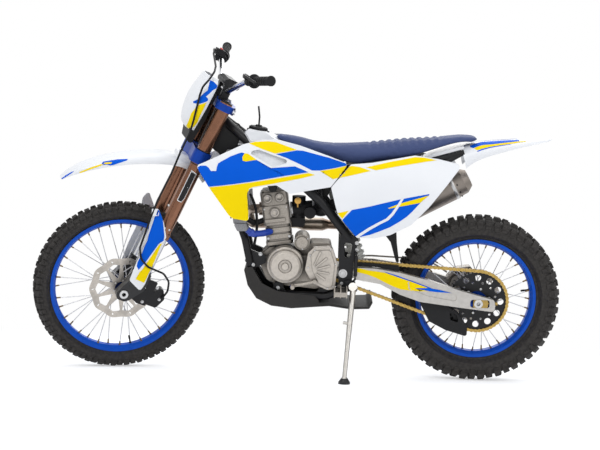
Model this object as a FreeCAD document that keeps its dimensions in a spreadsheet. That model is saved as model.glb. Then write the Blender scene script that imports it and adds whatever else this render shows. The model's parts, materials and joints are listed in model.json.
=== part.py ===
import FreeCAD
import Part
import Sketcher
import math
import os

V = FreeCAD.Vector
DOC = FreeCAD.newDocument("dirt_bike")

# Driving sizes of the motorcycle, in millimetres and degrees
SIZES = [
    ("wheelbase", 1440, "front axle to rear axle"),
    ("rake", 24.5, "steering axis back from the vertical"),
    ("fork_offset", 66, "front axle ahead of the steering axis"),
    ("clamp_offset", 22, "fork legs ahead of the steering axis"),
    ("half_legs", 100, "fork leg to the middle plane"),
    ("head_height", 922, "height on the steering axis that the fork's own heights count from"),
    ("head_bottom", -8, "head tube, lower end along the steering axis"),
    ("head_top", 154, "head tube, upper end along the steering axis"),
    ("lean", 8, "how far the parked motorcycle leans to its left"),
    ("rest_steer", 17, "how far the parked front wheel points to the left"),
    ("front_tyre_radius", 346, "front tyre to the lug tips"),
    ("front_tyre_half_width", 43, "front tyre, half of the width"),
    ("front_rim_radius", 280, "front rim flange"),
    ("front_rim_half_width", 25, "front rim, half of the width"),
    ("front_lug", 12, "height of the front lugs"),
    ("rear_tyre_radius", 338, "rear tyre to the lug tips"),
    ("rear_tyre_half_width", 60, "rear tyre, half of the width"),
    ("rear_rim_radius", 242, "rear rim flange"),
    ("rear_rim_half_width", 33, "rear rim, half of the width"),
    ("rear_lug", 17, "height of the rear lugs"),
    ("lug_rows", 28, "rows of middle lugs round a tyre, with shoulder lugs between them"),
    ("axle_radius", 12.5, "hollow wheel axles, outside"),
    ("axle_bore", 8, "hollow wheel axles, radius of the bore"),
    ("axle_play", 1, "clearance of the hubs on the axles"),
    ("front_axle_half", 124, "front axle, middle to the collar"),
    ("rear_axle_half", 130, "rear axle, middle to the collar"),
    ("spoke_radius", 1.8, "wheel spokes"),
    ("spoke_count", 36, "spokes in each wheel"),
    ("front_disc_radius", 128, "front brake disc"),
    ("rear_disc_radius", 110, "rear brake disc"),
    ("disc_thickness", 4, "brake discs"),
    ("disc_waves", 10, "waves round a brake disc"),
    ("chain_pitch", 15.875, "between the pins of the chain"),
    ("chain_links", 110, "links of the closed chain"),
    ("chain_line", 72, "chain to the left of the middle plane"),
    ("rear_teeth", 48, "teeth of the rear sprocket"),
    ("front_teeth", 13, "teeth of the front sprocket"),
    ("sprocket_thickness", 4.8, "sprocket plates"),
    ("sprocket_holes", 12, "round windows in the rear sprocket"),
    ("drive_z", 456, "front sprocket above the ground"),
    ("pivot_x", 180, "swingarm pivot behind the middle of the wheelbase"),
    ("pivot_z", 440, "swingarm pivot above the ground"),
    ("crank_x", -49, "crankshaft from the middle of the wheelbase"),
    ("crank_z", 465, "crankshaft above the ground"),
    ("cover_radius", 64, "round cover at the left end of the crankshaft"),
    ("cylinder_lean", 8.5, "cylinder forward of the vertical"),
    ("outer_tube_radius", 27, "upper fork tubes"),
    ("inner_tube_radius", 24, "lower fork tubes"),
    ("clamp_reach", 37, "fork clamps, outer radius round a leg"),
    ("stem_radius", 14, "steering stem"),
    ("bar_radius", 11, "handlebar"),
    ("bar_half", 405, "handlebar, middle to one end"),
    ("bar_rise", 236, "handlebar clamp along the steering axis"),
    ("grip_radius", 16.5, "grips"),
    ("spar_radius", 18, "upper frame spars"),
    ("rail_radius", 15, "lower frame tubes"),
    ("panel_thickness", 3, "plastic panels"),
    ("stand_x", 222, "side stand pivot behind the middle of the wheelbase"),
    ("stand_z", 392, "side stand pivot above the ground"),
    ("stand_y", 152, "side stand pivot to the left of the middle plane"),
    ("foot_x", 196, "side stand foot behind the middle of the wheelbase"),
    ("foot_y", 302, "side stand foot to the left of the middle plane"),
    ("foot_radius", 23, "round foot of the side stand"),
]


def fill_sheet():
    sheet = DOC.addObject("Spreadsheet::Sheet", "Sizes")
    for row, (alias, value, note) in enumerate(SIZES, start=1):
        sheet.set("A%d" % row, note)
        sheet.set("B%d" % row, str(value))
        sheet.setAlias("B%d" % row, alias)
    DOC.recompute()
    return sheet


SHEET = fill_sheet()


def size(alias):
    return float(SHEET.get(alias))


# Frames: the upright bike, the fork along the steering axis, and the wheels
RAKE = math.radians(size("rake"))
FRONT_AXLE = V(-size("wheelbase") / 2, 0, size("front_tyre_radius"))
REAR_AXLE = V(size("wheelbase") / 2, 0, size("rear_tyre_radius"))
AHEAD = V(-math.cos(RAKE), 0, math.sin(RAKE))
STEER_AXIS = V(math.sin(RAKE), 0, math.cos(RAKE))
AXLE_FOOT = FRONT_AXLE - AHEAD * size("fork_offset")
AXLE_DROP = (size("head_height") - AXLE_FOOT.z) / STEER_AXIS.z
HEAD = AXLE_FOOT + STEER_AXIS * AXLE_DROP
FORK_FRAME = FreeCAD.Placement(HEAD, FreeCAD.Rotation(V(0, 1, 0), size("rake")))
STEERED = FreeCAD.Placement(V(0, 0, 0), FreeCAD.Rotation(V(0, 0, 1), size("rest_steer")))
HALF_LEGS = size("half_legs")
LEG_A = -size("clamp_offset")
AXLE_A = -size("fork_offset")
AXLE_B = -AXLE_DROP
NODES = []


# Plane figures
def corner_cut(before, here, after, radius):
    one = (before - here).normalize()
    two = (after - here).normalize()
    turn = one.getAngle(two)
    cut = 0
    if radius > 0 and 0.01 < turn < math.pi - 0.01:
        shorter = min((before - here).Length, (after - here).Length)
        cut = min(radius / math.tan(turn / 2), 0.48 * shorter)
    return cut, one, two, turn


def curves(points, radius=0, closed=True):
    count = len(points)
    radii = list(radius) if isinstance(radius, (list, tuple)) else [radius] * count
    if not closed:
        radii[0] = radii[-1] = 0
    cuts = []
    for index in range(count):
        before = points[index - 1] if index or closed else points[1] * 2 - points[0] * 1
        after = points[(index + 1) % count]
        if not closed and index in (0, count - 1):
            cuts.append((0, V(0, 0, 0), V(0, 0, 0), math.pi))
        else:
            cuts.append(corner_cut(before, points[index], after, radii[index]))
    pieces = []
    for index in range(count):
        cut, one, two, turn = cuts[index]
        here = points[index]
        if cut > 0:
            reach = cut / math.cos(turn / 2)
            middle = here + (one + two).normalize() * (reach - cut * math.tan(turn / 2))
            pieces.append(Part.Arc(here + one * cut, middle, here + two * cut))
        if index == count - 1 and not closed:
            break
        cut_after, one_after = cuts[(index + 1) % count][0:2]
        start = here + two * cut
        goal = points[(index + 1) % count] + one_after * cut_after
        if (goal - start).Length > 1e-6:
            pieces.append(Part.LineSegment(start, goal))
    return pieces


def flat_curves(points, radius=0):
    return curves([V(u, v, 0) for u, v in points], radius)


def wire_of(pieces):
    return Part.Wire([piece.toShape() for piece in pieces])


# Solids from figures
def side_prism(points, radius, y_from, y_to):
    wire = wire_of(curves([V(x, y_from, z) for x, z in points], radius))
    return Part.Face(wire).extrude(V(0, y_to - y_from, 0))


def plan_prism(points, radius, z_from, z_to):
    wire = wire_of(curves([V(x, y, z_from) for x, y in points], radius))
    return Part.Face(wire).extrude(V(0, 0, z_to - z_from))


def end_prism(points, radius, x_from, x_to):
    wire = wire_of(curves([V(x_from, y, z) for y, z in points], radius))
    return Part.Face(wire).extrude(V(x_to - x_from, 0, 0))


def rod(start, end, radius):
    return Part.makeCylinder(radius, (end - start).Length, start, end - start)


def cross_rod(x, z, y_from, y_to, radius):
    return rod(V(x, y_from, z), V(x, y_to, z), radius)


def bent_tube(points, radius, bend):
    path = wire_of(curves([V(*point) for point in points], bend, closed=False))
    first = path.Edges[0]
    start = first.valueAt(first.FirstParameter)
    heading = first.tangentAt(first.FirstParameter)
    ring = Part.Wire(Part.makeCircle(radius, start, heading))
    return path.makePipeShell([ring], True, True)


def turned_along(start, end, steps):
    profile = [V(0, 0, steps[0][0])] + [V(out, 0, along) for along, out in steps] + [V(0, 0, steps[-1][0])]
    face = Part.Face(Part.makePolygon(profile + [profile[0]]))
    solid = face.revolve(V(0, 0, 0), V(0, 0, 1), 360)
    solid.Placement = FreeCAD.Placement(start, FreeCAD.Rotation(V(0, 0, 1), end - start))
    return solid


def moved(shape, x=0, y=0, z=0):
    copy = shape.copy()
    copy.translate(V(x, y, z))
    return copy


def mirrored(shape):
    return shape.mirror(V(0, 0, 0), V(0, 1, 0))


def pair(shape):
    return group_solids([shape, mirrored(shape)])


def fused(shapes):
    shapes = list(shapes)
    return shapes[0].multiFuse(shapes[1:]).removeSplitter() if len(shapes) > 1 else shapes[0]


def cut_by(shape, others):
    for other in others:
        shape = shape.cut(other)
    return shape


def group_solids(shapes):
    return Part.makeCompound([solid for shape in shapes for solid in shape.Solids])


def node(label, shape, frame):
    thing = DOC.addObject("Part::Feature", label)
    thing.Label = label
    thing.Shape = shape
    NODES.append((thing, frame))
    return thing


# Bodies with sketches, their lengths tied to the sheet
def new_body(label, frame):
    body = DOC.addObject("PartDesign::Body", label)
    body.Label = label
    body.AllowCompound = True
    NODES.append((body, frame))
    return body


def origin_part(body, role):
    return next(part for part in body.Origin.OriginFeatures if part.Role == role)


def add_sketch(body, role, pieces, depth="0"):
    sketch = body.newObject("Sketcher::SketchObject", body.Name + "_figure")
    sketch.AttachmentSupport = [(origin_part(body, role), "")]
    sketch.MapMode = "FlatFace"
    sketch.setExpression("AttachmentOffset.Base.z", depth)
    sketch.addGeometry(pieces, False)
    return sketch


def bind_circle(sketch, index, radius):
    sketch.addConstraint(Sketcher.Constraint("Radius", index, sketch.Geometry[index].Radius))
    sketch.setExpression("Constraints[%d]" % (sketch.ConstraintCount - 1), radius)


def side_pad(body, pieces, low, high):
    pad = body.newObject("PartDesign::Pad", body.Name + "_pad")
    pad.Profile = add_sketch(body, "XZ_Plane", pieces, "-(%s)" % high)
    pad.setExpression("Length", "(%s) - (%s)" % (high, low))
    return pad


def side_pocket(body, pieces, low, high):
    pocket = body.newObject("PartDesign::Pocket", body.Name + "_pocket")
    pocket.Profile = add_sketch(body, "XZ_Plane", pieces, "-(%s)" % low)
    pocket.setExpression("Length", "(%s) - (%s)" % (high, low))
    return pocket


def spin(body, points, role, axis, radius=0):
    turn = body.newObject("PartDesign::Revolution", body.Name + "_turn")
    sketch = add_sketch(body, role, flat_curves(points, radius))
    turn.Profile = sketch
    turn.ReferenceAxis = (sketch, [axis])
    turn.Angle = 360
    return turn


def spin_across(body, points, radius=0):
    return spin(body, points, "YZ_Plane", "H_Axis", radius)


def ring_pattern(body, feature, role, count):
    pattern = body.newObject("PartDesign::PolarPattern", body.Name + "_ring")
    pattern.Originals = [feature]
    pattern.Axis = (origin_part(body, role), [""])
    pattern.Angle = 360
    pattern.setExpression("Occurrences", count)
    body.Tip = pattern
    return pattern


def mirror_pattern(body, features):
    pattern = body.newObject("PartDesign::Mirrored", body.Name + "_mirror")
    pattern.Originals = features
    pattern.MirrorPlane = (origin_part(body, "XZ_Plane"), [""])
    body.Tip = pattern
    return pattern


# Wheels, each about its own axle
def lug_profiles(end):
    tip = size(end + "_tyre_radius")
    half = size(end + "_tyre_half_width")
    flange = size(end + "_rim_radius")
    bead = (size(end + "_rim_half_width") - 5, flange - 1)
    lug = size(end + "_lug")
    wall = (half - 3, flange + 0.42 * (tip - flange))
    shoulder = (half - 2, flange + 0.6 * (tip - flange))
    foot = (0.33 * half, tip - lug)
    side = [bead, wall, shoulder]
    middle_lug = side + [foot, (0.33 * half, tip)]
    shoulder_lug = side + [(half, tip - 1.25 * lug), (0.52 * half, tip - 3), foot]
    return middle_lug, shoulder_lug


def around(profile):
    return profile + [(-along, out) for along, out in reversed(profile)]


def at_angle(point, angle):
    along, out = point
    return V(out * math.sin(angle), along, -out * math.cos(angle))


def ring_strip(profile, start, stop):
    faces = []
    for index in range(len(profile)):
        one, two = profile[index], profile[(index + 1) % len(profile)]
        corners = [at_angle(one, start), at_angle(two, start), at_angle(two, stop), at_angle(one, stop)]
        faces.append(Part.Face(Part.makePolygon(corners + [corners[0]])))
    return faces


def lug_walls(middle_lug, shoulder_lug, angle):
    foot, tip = middle_lug[3], middle_lug[4]
    shoulder, outer, inner = shoulder_lug[2], shoulder_lug[3], shoulder_lug[4]
    walls = [[foot, tip, (-tip[0], tip[1]), (-foot[0], foot[1])]]
    walls.append([shoulder, outer, inner, foot])
    walls.append([(-along, out) for along, out in walls[1]])
    faces = []
    for wall in walls:
        corners = [at_angle(point, angle) for point in wall]
        faces.append(Part.Face(Part.makePolygon(corners + [corners[0]])))
    return faces


def tyre_shape(end):
    middle_lug, shoulder_lug = lug_profiles(end)
    rows = 2 * int(size("lug_rows"))
    step = 2 * math.pi / rows
    faces = []
    for index in range(rows):
        profile = around(middle_lug if index % 2 == 0 else shoulder_lug)
        start = (index - 0.5) * step
        faces += ring_strip(profile, start, start + step)
        faces += lug_walls(middle_lug, shoulder_lug, start)
    shell = Part.Shell(faces)
    shell.sewShape()
    solid = Part.Solid(Part.Shell(shell.Faces))
    if solid.Volume < 0:
        solid.reverse()
    return solid


def build_rim(end):
    flange = size(end + "_rim_radius")
    half = size(end + "_rim_half_width")
    bed = flange - 9
    well = flange - 17
    upper = [(half, flange), (half - 3, flange), (half - 5, bed), (half * 0.4, well)]
    lower = [(half, bed - 3), (half * 0.46, well - 5)]
    points = upper + [(-y, r) for y, r in reversed(upper)]
    points += [(-y, r) for y, r in lower] + list(reversed(lower))
    spin_across(new_body(end + "_rim", end + "_wheel"), points)


def spoke_rods(end, flange_radius, flange_y):
    rim_in = size(end + "_rim_radius") - 22.1
    per_side = int(size("spoke_count")) // 4
    spokes = []
    for side in (-1, 1):
        for index in range(per_side):
            for lay in (-1, 1):
                base = math.radians(index * 360.0 / per_side + (10 if side > 0 else 0) + 8 * lay)
                tip = base + lay * math.radians(42)
                start = V(flange_radius * math.cos(base), side * (flange_y + 3.6 * lay),
                          flange_radius * math.sin(base))
                goal = V(rim_in * math.cos(tip), side * (8.5 + 2.4 * lay), rim_in * math.sin(tip))
                spokes.append(rod(start, goal, size("spoke_radius")))
    return Part.makeCompound(spokes)


def build_front_hub():
    body = new_body("front_hub", "front_wheel")
    bore = size("axle_radius") + size("axle_play")
    spin_across(body, [(-46, bore), (46, bore), (46, 22), (38, 22), (38, 34), (33, 34), (28, 21), (-28, 21),
                       (-33, 34), (-38, 34), (-38, 26), (-46, 26)], [0, 0, 2, 2, 1, 1, 6, 6, 1, 1, 1, 0])


def build_rear_hub():
    body = new_body("rear_hub", "rear_wheel")
    bore = size("axle_radius") + size("axle_play")
    spin_across(body, [(-62, bore), (62, bore), (62, 24), (56, 30), (46, 30), (46, 44), (40, 44), (34, 28),
                       (-34, 28),
                       (-40, 44), (-46, 44), (-46, 40), (-62, 40)], [0, 0, 2, 2, 1, 1, 1, 8, 8, 1, 1, 1, 0])


def wave_curve(radius, depth, waves):
    points = []
    steps = 4 * waves
    for index in range(steps):
        angle = 2 * math.pi * index / steps
        out = radius - depth * (0.5 - 0.5 * math.cos(angle * waves))
        points.append(V(out * math.cos(angle), out * math.sin(angle), 0))
    curve = Part.BSplineCurve()
    curve.interpolate(points, PeriodicFlag=True)
    return curve


def build_disc(label, frame, radius, inner, low):
    waves = int(size("disc_waves"))
    high = "%s + Sizes.disc_thickness" % low
    body = new_body(label, frame)
    side_pad(body, [wave_curve(size(radius), 6, waves)], low, high)
    side_pocket(body, [Part.Circle(V(0, 0, 0), V(0, 0, 1), inner)], "%s - 1" % low, "%s + 1" % high)
    band = size(radius) - 24
    lean = math.pi / waves
    window = [(inner + 13, 0), ((band - 7) * math.cos(0.86 * lean), -(band - 7) * math.sin(0.86 * lean)),
              (band, 0),
              ((band - 7) * math.cos(0.86 * lean), (band - 7) * math.sin(0.86 * lean))]
    cut = side_pocket(body, flat_curves(window, [3, 6, 8, 6]), "%s - 1" % low, "%s + 1" % high)
    ring_pattern(body, cut, "Y_Axis", "Sizes.disc_waves")
    slot = [(size(radius) - 18, -2.6), (size(radius) - 18, 2.6), (size(radius) - 9, 6), (size(radius) - 9, 1)]
    cut = side_pocket(body, flat_curves(slot, 2), "%s - 1" % low, "%s + 1" % high)
    ring_pattern(body, cut, "Y_Axis", "Sizes.disc_waves")


def build_wheels():
    for end in ("front", "rear"):
        node(end + "_tyre", tyre_shape(end), end + "_wheel")
        build_rim(end)
    build_front_hub()
    build_rear_hub()
    node("front_spokes", spoke_rods("front", 34.4, 35.5), "front_wheel")
    node("rear_spokes", spoke_rods("rear", 44.4, 43), "rear_wheel")
    build_disc("front_disc", "front_wheel", "front_disc_radius", 26.2, "-46")
    build_disc("rear_disc", "rear_wheel", "rear_disc_radius", 30.2, "50")
    build_rear_sprocket()


# Chain drive
def pitch_radius(teeth):
    return size("chain_pitch") / (2 * math.sin(math.pi / teeth))


def toothed_outline(teeth, phase):
    ring = pitch_radius(teeth)
    points = []
    for index in range(teeth):
        angle = 2 * math.pi * (index + 0.5) / teeth + phase
        for out, wide in ((ring - 6.6, -3.2), (ring - 3.5, -2.4), (ring + 3.2, -1.1), (ring + 3.2, 1.1),
                          (ring - 3.5, 2.4), (ring - 6.6, 3.2)):
            shift = wide / out
            points.append((out * math.cos(angle + shift), out * math.sin(angle + shift)))
    return flat_curves(points)


def build_rear_sprocket():
    teeth = int(size("rear_teeth"))
    low = "-Sizes.chain_line - Sizes.sprocket_thickness / 2"
    high = "-Sizes.chain_line + Sizes.sprocket_thickness / 2"
    body = new_body("rear_sprocket", "rear_wheel")
    side_pad(body, toothed_outline(teeth, 0), low, high)
    collar = [Part.Circle(V(0, 0, 0), V(0, 0, 1), 56)]
    side_pad(body, collar, high, "-62")
    side_pocket(body, [Part.Circle(V(0, 0, 0), V(0, 0, 1), 40.2)], low + " - 1", "-60")
    window = [Part.Circle(V(94, 0, 0), V(0, 0, 1), 13)]
    cut = side_pocket(body, window, low + " - 1", high + " + 1")
    ring_pattern(body, cut, "Y_Axis", "Sizes.sprocket_holes")
    small = [Part.Circle(V(75 * math.cos(0.26), 75 * math.sin(0.26), 0), V(0, 0, 1), 5)]
    cut = side_pocket(body, small, low + " - 1", high + " + 1")
    ring_pattern(body, cut, "Y_Axis", "Sizes.sprocket_holes")


def chain_run(drive_x):
    rear_ring = pitch_radius(int(size("rear_teeth")))
    front_ring = pitch_radius(int(size("front_teeth")))
    front = V(drive_x, 0, size("drive_z"))
    gap = REAR_AXLE - front
    slope = math.atan2(gap.z, gap.x)
    splay = math.asin((rear_ring - front_ring) / gap.Length)
    top = slope + splay + math.pi / 2
    low = slope - splay - math.pi / 2
    straight = math.sqrt(gap.Length ** 2 - (rear_ring - front_ring) ** 2) / size("chain_pitch")
    on_rear = (top - low) * size("rear_teeth") / (2 * math.pi)
    on_front = (2 * math.pi - top + low) * size("front_teeth") / (2 * math.pi)
    return front, front_ring, rear_ring, top, low, straight, on_rear, on_front


def drive_point():
    near, far = 0.0, 250.0
    while far - near > 1e-9:
        middle = (near + far) / 2
        run = chain_run(middle)
        links = 2 * run[5] + run[6] + run[7]
        if links > size("chain_links"):
            near = middle
        else:
            far = middle
    return near


DRIVE_X = drive_point()


def on_circle(centre, radius, angle):
    return centre + V(radius * math.cos(angle), 0, radius * math.sin(angle))


def chain_point(count):
    front, front_ring, rear_ring, top, low, straight, on_rear, on_front = chain_run(DRIVE_X)
    count = count % size("chain_links")
    if count <= on_rear:
        angle = top - count * 2 * math.pi / size("rear_teeth")
        return on_circle(REAR_AXLE, rear_ring, angle), angle
    count -= on_rear
    if count <= straight:
        start, goal = on_circle(REAR_AXLE, rear_ring, low), on_circle(front, front_ring, low)
        return start + (goal - start) * (count / straight), low
    count -= straight
    if count <= on_front:
        angle = low - count * 2 * math.pi / size("front_teeth")
        return on_circle(front, front_ring, angle), angle
    count -= on_front
    start, goal = on_circle(front, front_ring, top), on_circle(REAR_AXLE, rear_ring, top)
    return start + (goal - start) * (count / straight), top


def chain_start():
    top = chain_run(DRIVE_X)[3]
    step = 2 * math.pi / size("rear_teeth")
    return (top % step) / step


def link_band(side):
    links = int(size("chain_links"))
    shift = chain_start()
    line = -size("chain_line")
    inner, thin, thick = 3.6, 6.0, 8.4
    ends = []
    for index in range(links):
        point, angle = chain_point(index + shift)
        outward = V(math.cos(angle), 0, math.sin(angle))
        ends.append((point, outward))
    faces = []
    for index in range(links):
        here, after = ends[index], ends[(index + 1) % links]
        outer = thick if index % 2 == 0 else thin

        def corner(end, rise, across):
            return end[0] + end[1] * rise + V(0, line + side * across, 0)

        ring = [(-6.2, inner), (6.2, inner), (6.2, outer), (-6.2, outer)]
        for k in range(4):
            one, two = ring[k], ring[(k + 1) % 4]
            corners = [corner(here, *one), corner(here, *two), corner(after, *two), corner(after, *one)]
            faces.append(Part.Face(Part.makePolygon(corners + [corners[0]])))
        step = [corner(here, -6.2, thin), corner(here, 6.2, thin), corner(here, 6.2, thick), corner(here,
                                                                                                    -6.2,
                                                                                                    thick)]
        faces.append(Part.Face(Part.makePolygon(step + [step[0]])))
    shell = Part.Shell(faces)
    shell.sewShape()
    solid = Part.Solid(Part.Shell(shell.Faces))
    if solid.Volume < 0:
        solid.reverse()
    return solid


def build_front_sprocket():
    teeth = int(size("front_teeth"))
    run = chain_run(DRIVE_X)
    step = 2 * math.pi / teeth
    pins = math.ceil(run[6] + run[5] - chain_start()) + chain_start() - run[6] - run[5]
    phase = run[4] - pins * step
    body = new_body("front_sprocket", "bike")
    low = "-Sizes.chain_line - Sizes.sprocket_thickness / 2"
    high = "-Sizes.chain_line + Sizes.sprocket_thickness / 2"
    outline = toothed_outline(teeth, phase)
    side_pad(body, shifted(outline, DRIVE_X, size("drive_z")), low, high)
    shaft = [Part.Circle(V(DRIVE_X, size("drive_z"), 0), V(0, 0, 1), 12)]
    side_pad(body, shaft, "-80", "-58")


def shifted(pieces, x, z):
    for piece in pieces:
        piece.translate(V(x, z, 0))
    return pieces


# More body features
def plan_pad(body, pieces, low, high):
    pad = body.newObject("PartDesign::Pad", body.Name + "_pad")
    pad.Profile = add_sketch(body, "XY_Plane", pieces, low)
    pad.setExpression("Length", "(%s) - (%s)" % (high, low))
    return pad


def plan_pocket(body, pieces, low, high):
    pocket = body.newObject("PartDesign::Pocket", body.Name + "_pocket")
    pocket.Profile = add_sketch(body, "XY_Plane", pieces, high)
    pocket.setExpression("Length", "(%s) - (%s)" % (high, low))
    return pocket


def spin_at(body, points, x, z, radius=0):
    turn = body.newObject("PartDesign::Revolution", body.Name + "_turn")
    height = size(z)
    sketch = add_sketch(body, "YZ_Plane", flat_curves([(y, height + out) for y, out in points], radius),
                        "Sizes." + x)
    sketch.addGeometry(Part.LineSegment(V(-300, height, 0), V(300, height, 0)), True)
    turn.Profile = sketch
    turn.ReferenceAxis = (sketch, ["Axis0"])
    turn.Angle = 360
    return turn


def spin_leg(body, points):
    turn = body.newObject("PartDesign::Revolution", body.Name + "_turn")
    sketch = add_sketch(body, "XZ_Plane", flat_curves([(LEG_A + out, b) for b, out in points]),
                        "Sizes.half_legs")
    sketch.addGeometry(Part.LineSegment(V(LEG_A, -900, 0), V(LEG_A, 300, 0)), True)
    turn.Profile = sketch
    turn.ReferenceAxis = (sketch, ["Axis0"])
    turn.Angle = 360
    return turn


def circle(x, z, radius):
    return [Part.Circle(V(x, z, 0), V(0, 0, 1), radius)]


def rectangle(half_wide, half_deep, x=0, y=0):
    return [(x - half_wide, y - half_deep), (x + half_wide, y - half_deep), (x + half_wide, y + half_deep),
            (x - half_wide, y + half_deep)]


MADE = {}


def once(make):
    if make not in MADE:
        MADE[make] = make()
    return MADE[make]


# Curved skins
def spline(points):
    curve = Part.BSplineCurve()
    curve.interpolate(points)
    return curve.toShape()


def skin_section(outer, inner):
    edges = [spline(outer), Part.LineSegment(outer[-1], inner[-1]).toShape(), spline(list(reversed(inner))),
             Part.LineSegment(inner[0], outer[0]).toShape()]
    return Part.Wire(edges)


def crowned_shell(stations, thickness):
    sections = []
    for index, (x, z, half, drop) in enumerate(stations):
        before = stations[max(index - 1, 0)]
        after = stations[min(index + 1, len(stations) - 1)]
        along = V(after[0] - before[0], 0, after[1] - before[1]).normalize()
        up = V(-along.z, 0, along.x)
        centre = V(x, 0, z)

        def across(wide, deep, inset):
            shape = [(-1, 1), (-0.93, 0.42), (-0.6, 0.1), (0, 0), (0.6, 0.1), (0.93, 0.42), (1, 1)]
            return [centre + V(0, (wide - inset) * u,
                               0) - up * (deep * v + inset * (1 if abs(u) < 1 else 0.2))
                    for u, v in shape]

        sections.append(skin_section(across(half, drop, 0), across(half, drop, thickness)))
    return Part.makeLoft(sections, True, False)


def side_skin(stations, bulge):
    thick = size("panel_thickness")
    sections = []
    for x, base in stations:
        outer = [V(x, base + inward, z) for z, inward in bulge]
        inner = [point + V(0, thick, 0) for point in outer]
        sections.append(skin_section(outer, inner))
    return Part.makeLoft(sections, True, False)


# Frame
RAIL_PATH = [(-356, -16, 928), (-309, -22, 896), (-268, -50, 700), (-212, -82, 560), (-182, -84, 430), (-130, -84, 342),
             (120, -100, 342), (172, -106, 376)]
SPAR_PATH = [(-318, -22, 1030), (-190, -80, 930), (-20, -104, 812), (90, -108, 716), (205, -104, 575)]
PIVOT_PLATE = [(162, 600), (238, 588), (222, 486), (214, 372), (166, 362), (163, 430)]


def along_head(low, high, radius):
    tube = Part.makeCylinder(radius, high - low, V(0, 0, low))
    tube.Placement = FORK_FRAME
    return tube


def spar(extra=0):
    return bent_tube(SPAR_PATH, size("spar_radius") + extra, 120)


def rail(extra=0):
    return bent_tube(RAIL_PATH, size("rail_radius") + extra, 60)


def engine_brackets():
    front = side_prism([(-212, 470), (-196, 520), (-130, 494), (-128, 466), (-176, 440)], 8, -80, -66)
    low = side_prism([(-104, 340), (-92, 388), (-62, 388), (-40, 340)], 8, -84, -66)
    rear = side_prism([(70, 346), (92, 372), (126, 372), (166, 372), (166, 346)], 6, -96, -80)
    shock = side_prism([(72, 716), (98, 708), (136, 796), (130, 816), (106, 812)], 8, -37, -29)
    return [front, low, rear, shock, head_steady()]


def head_steady(extra=0):
    steady = [(-146, 812), (-118, 752), (-96, 752), (-78, 812), (-74, 850), (-140, 876)]
    return side_prism(steady, 8, -94 - extra, -70 + extra)


def frame_shape():
    plate = side_prism(PIVOT_PLATE, 14, -118, -96)
    plate = plate.cut(side_prism([(182, 566), (214, 560), (206, 506), (184, 500)], 10, -130, -80))
    gusset = side_prism([(-338, 1034), (-250, 1006), (-244, 962), (-262, 906), (-300, 880), (-352, 908)],
                        14, -40, -34)
    stub = bent_tube([(-338, -16, 1000), (-318, -24, 1030), (-250, -53, 977)], 15, 20)
    radiator_arms = [rod(V(-275, -44, 720), V(-262, -104, 720), 6), rod(V(-300, -24, 860), V(-282, -104,
                                                                                             860), 6)]
    half = [spar(), rail(), plate, gusset, stub] + engine_brackets() + radiator_arms
    across = [rod(V(-330, -36, 1010), V(-330, 36, 1010), 16), rod(V(-308, -38, 906), V(-308, 38, 906), 14),
              rod(V(-268, -50, 700), V(-268, 50, 700), 12), rod(V(190, -100, 372), V(190, 100, 372), 10),
              rod(V(100, -98, 342), V(100, 98, 342), 10), rod(V(86, -106, 720), V(86, 106, 720), 14)]
    head = along_head(size("head_bottom"), size("head_top"), 28)
    body = fused([head] + half + [mirrored(shape) for shape in half] + across)
    cuts = [along_head(-60, 240, 19), cross_rod(size("pivot_x"), size("pivot_z"), -130, 130, 13)]
    return cut_by(body, cuts)


def subframe_shape():
    upper = bent_tube([(60, -72, 832), (150, -72, 838), (430, -72, 868), (640, -62, 930)], 11, 60)
    lower = bent_tube([(226, -100, 606), (262, -96, 650), (400, -80, 760), (560, -68, 884), (632, -62,
                                                                                             926)], 10, 40)
    brace = rod(V(86, -104, 728), V(76, -74, 832), 9)
    tie = rod(V(150, -72, 838), V(150, 72, 838), 9)
    half = [upper, lower, brace]
    body = fused(half + [mirrored(shape) for shape in half] + [tie, rod(V(600, -64, 916), V(600, 64, 916),
                                                                        9)])
    return body.cut(once(frame_shape))


# Engine
def build_crankcase():
    body = new_body("crankcase", "bike")
    outline = [(-150, 454), (-143, 497), (-112, 526), (-33, 532), (7, 520), (54, 548), (128, 548), (140, 500),
               (128, 440), (128, 372), (72, 362), (-48, 372), (-120, 392)]
    side_pad(body, flat_curves(outline, [12, 14, 12, 6, 10, 14, 12, 10, 10, 12, 14, 16, 16]), "-56", "66")
    side_pad(body, circle(size("crank_x"), size("crank_z"), size("cover_radius") + 10), "-104", "-50")
    side_pad(body, circle(14, 556, 31), "-100", "20")
    side_pad(body, circle(14, 556, 23), "-110", "-100")
    side_pad(body, flat_curves([(-10, 500), (58, 500), (58, 400), (-10, 396)], 6), "-86", "-50")
    side_pad(body, flat_curves([(-144, 490), (-110, 490), (-110, 456), (-144, 456)], 8), "-66", "-50")
    side_pad(body, flat_curves([(-100, 400), (-52, 400), (-56, 376), (-96, 376)], 6), "-66", "-50")
    fin = side_pad(body, flat_curves([(-155, 462), (-147, 500), (-120, 528), (-90, 526), (-90, 396), (-124,
                                                                                                      390)], 8),
                   "-46", "-42")
    row = body.newObject("PartDesign::LinearPattern", "front_fins")
    row.Originals = [fin]
    row.Direction = (origin_part(body, "Y_Axis"), [""])
    row.Length = 84
    row.Occurrences = 7
    body.Tip = row


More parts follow.
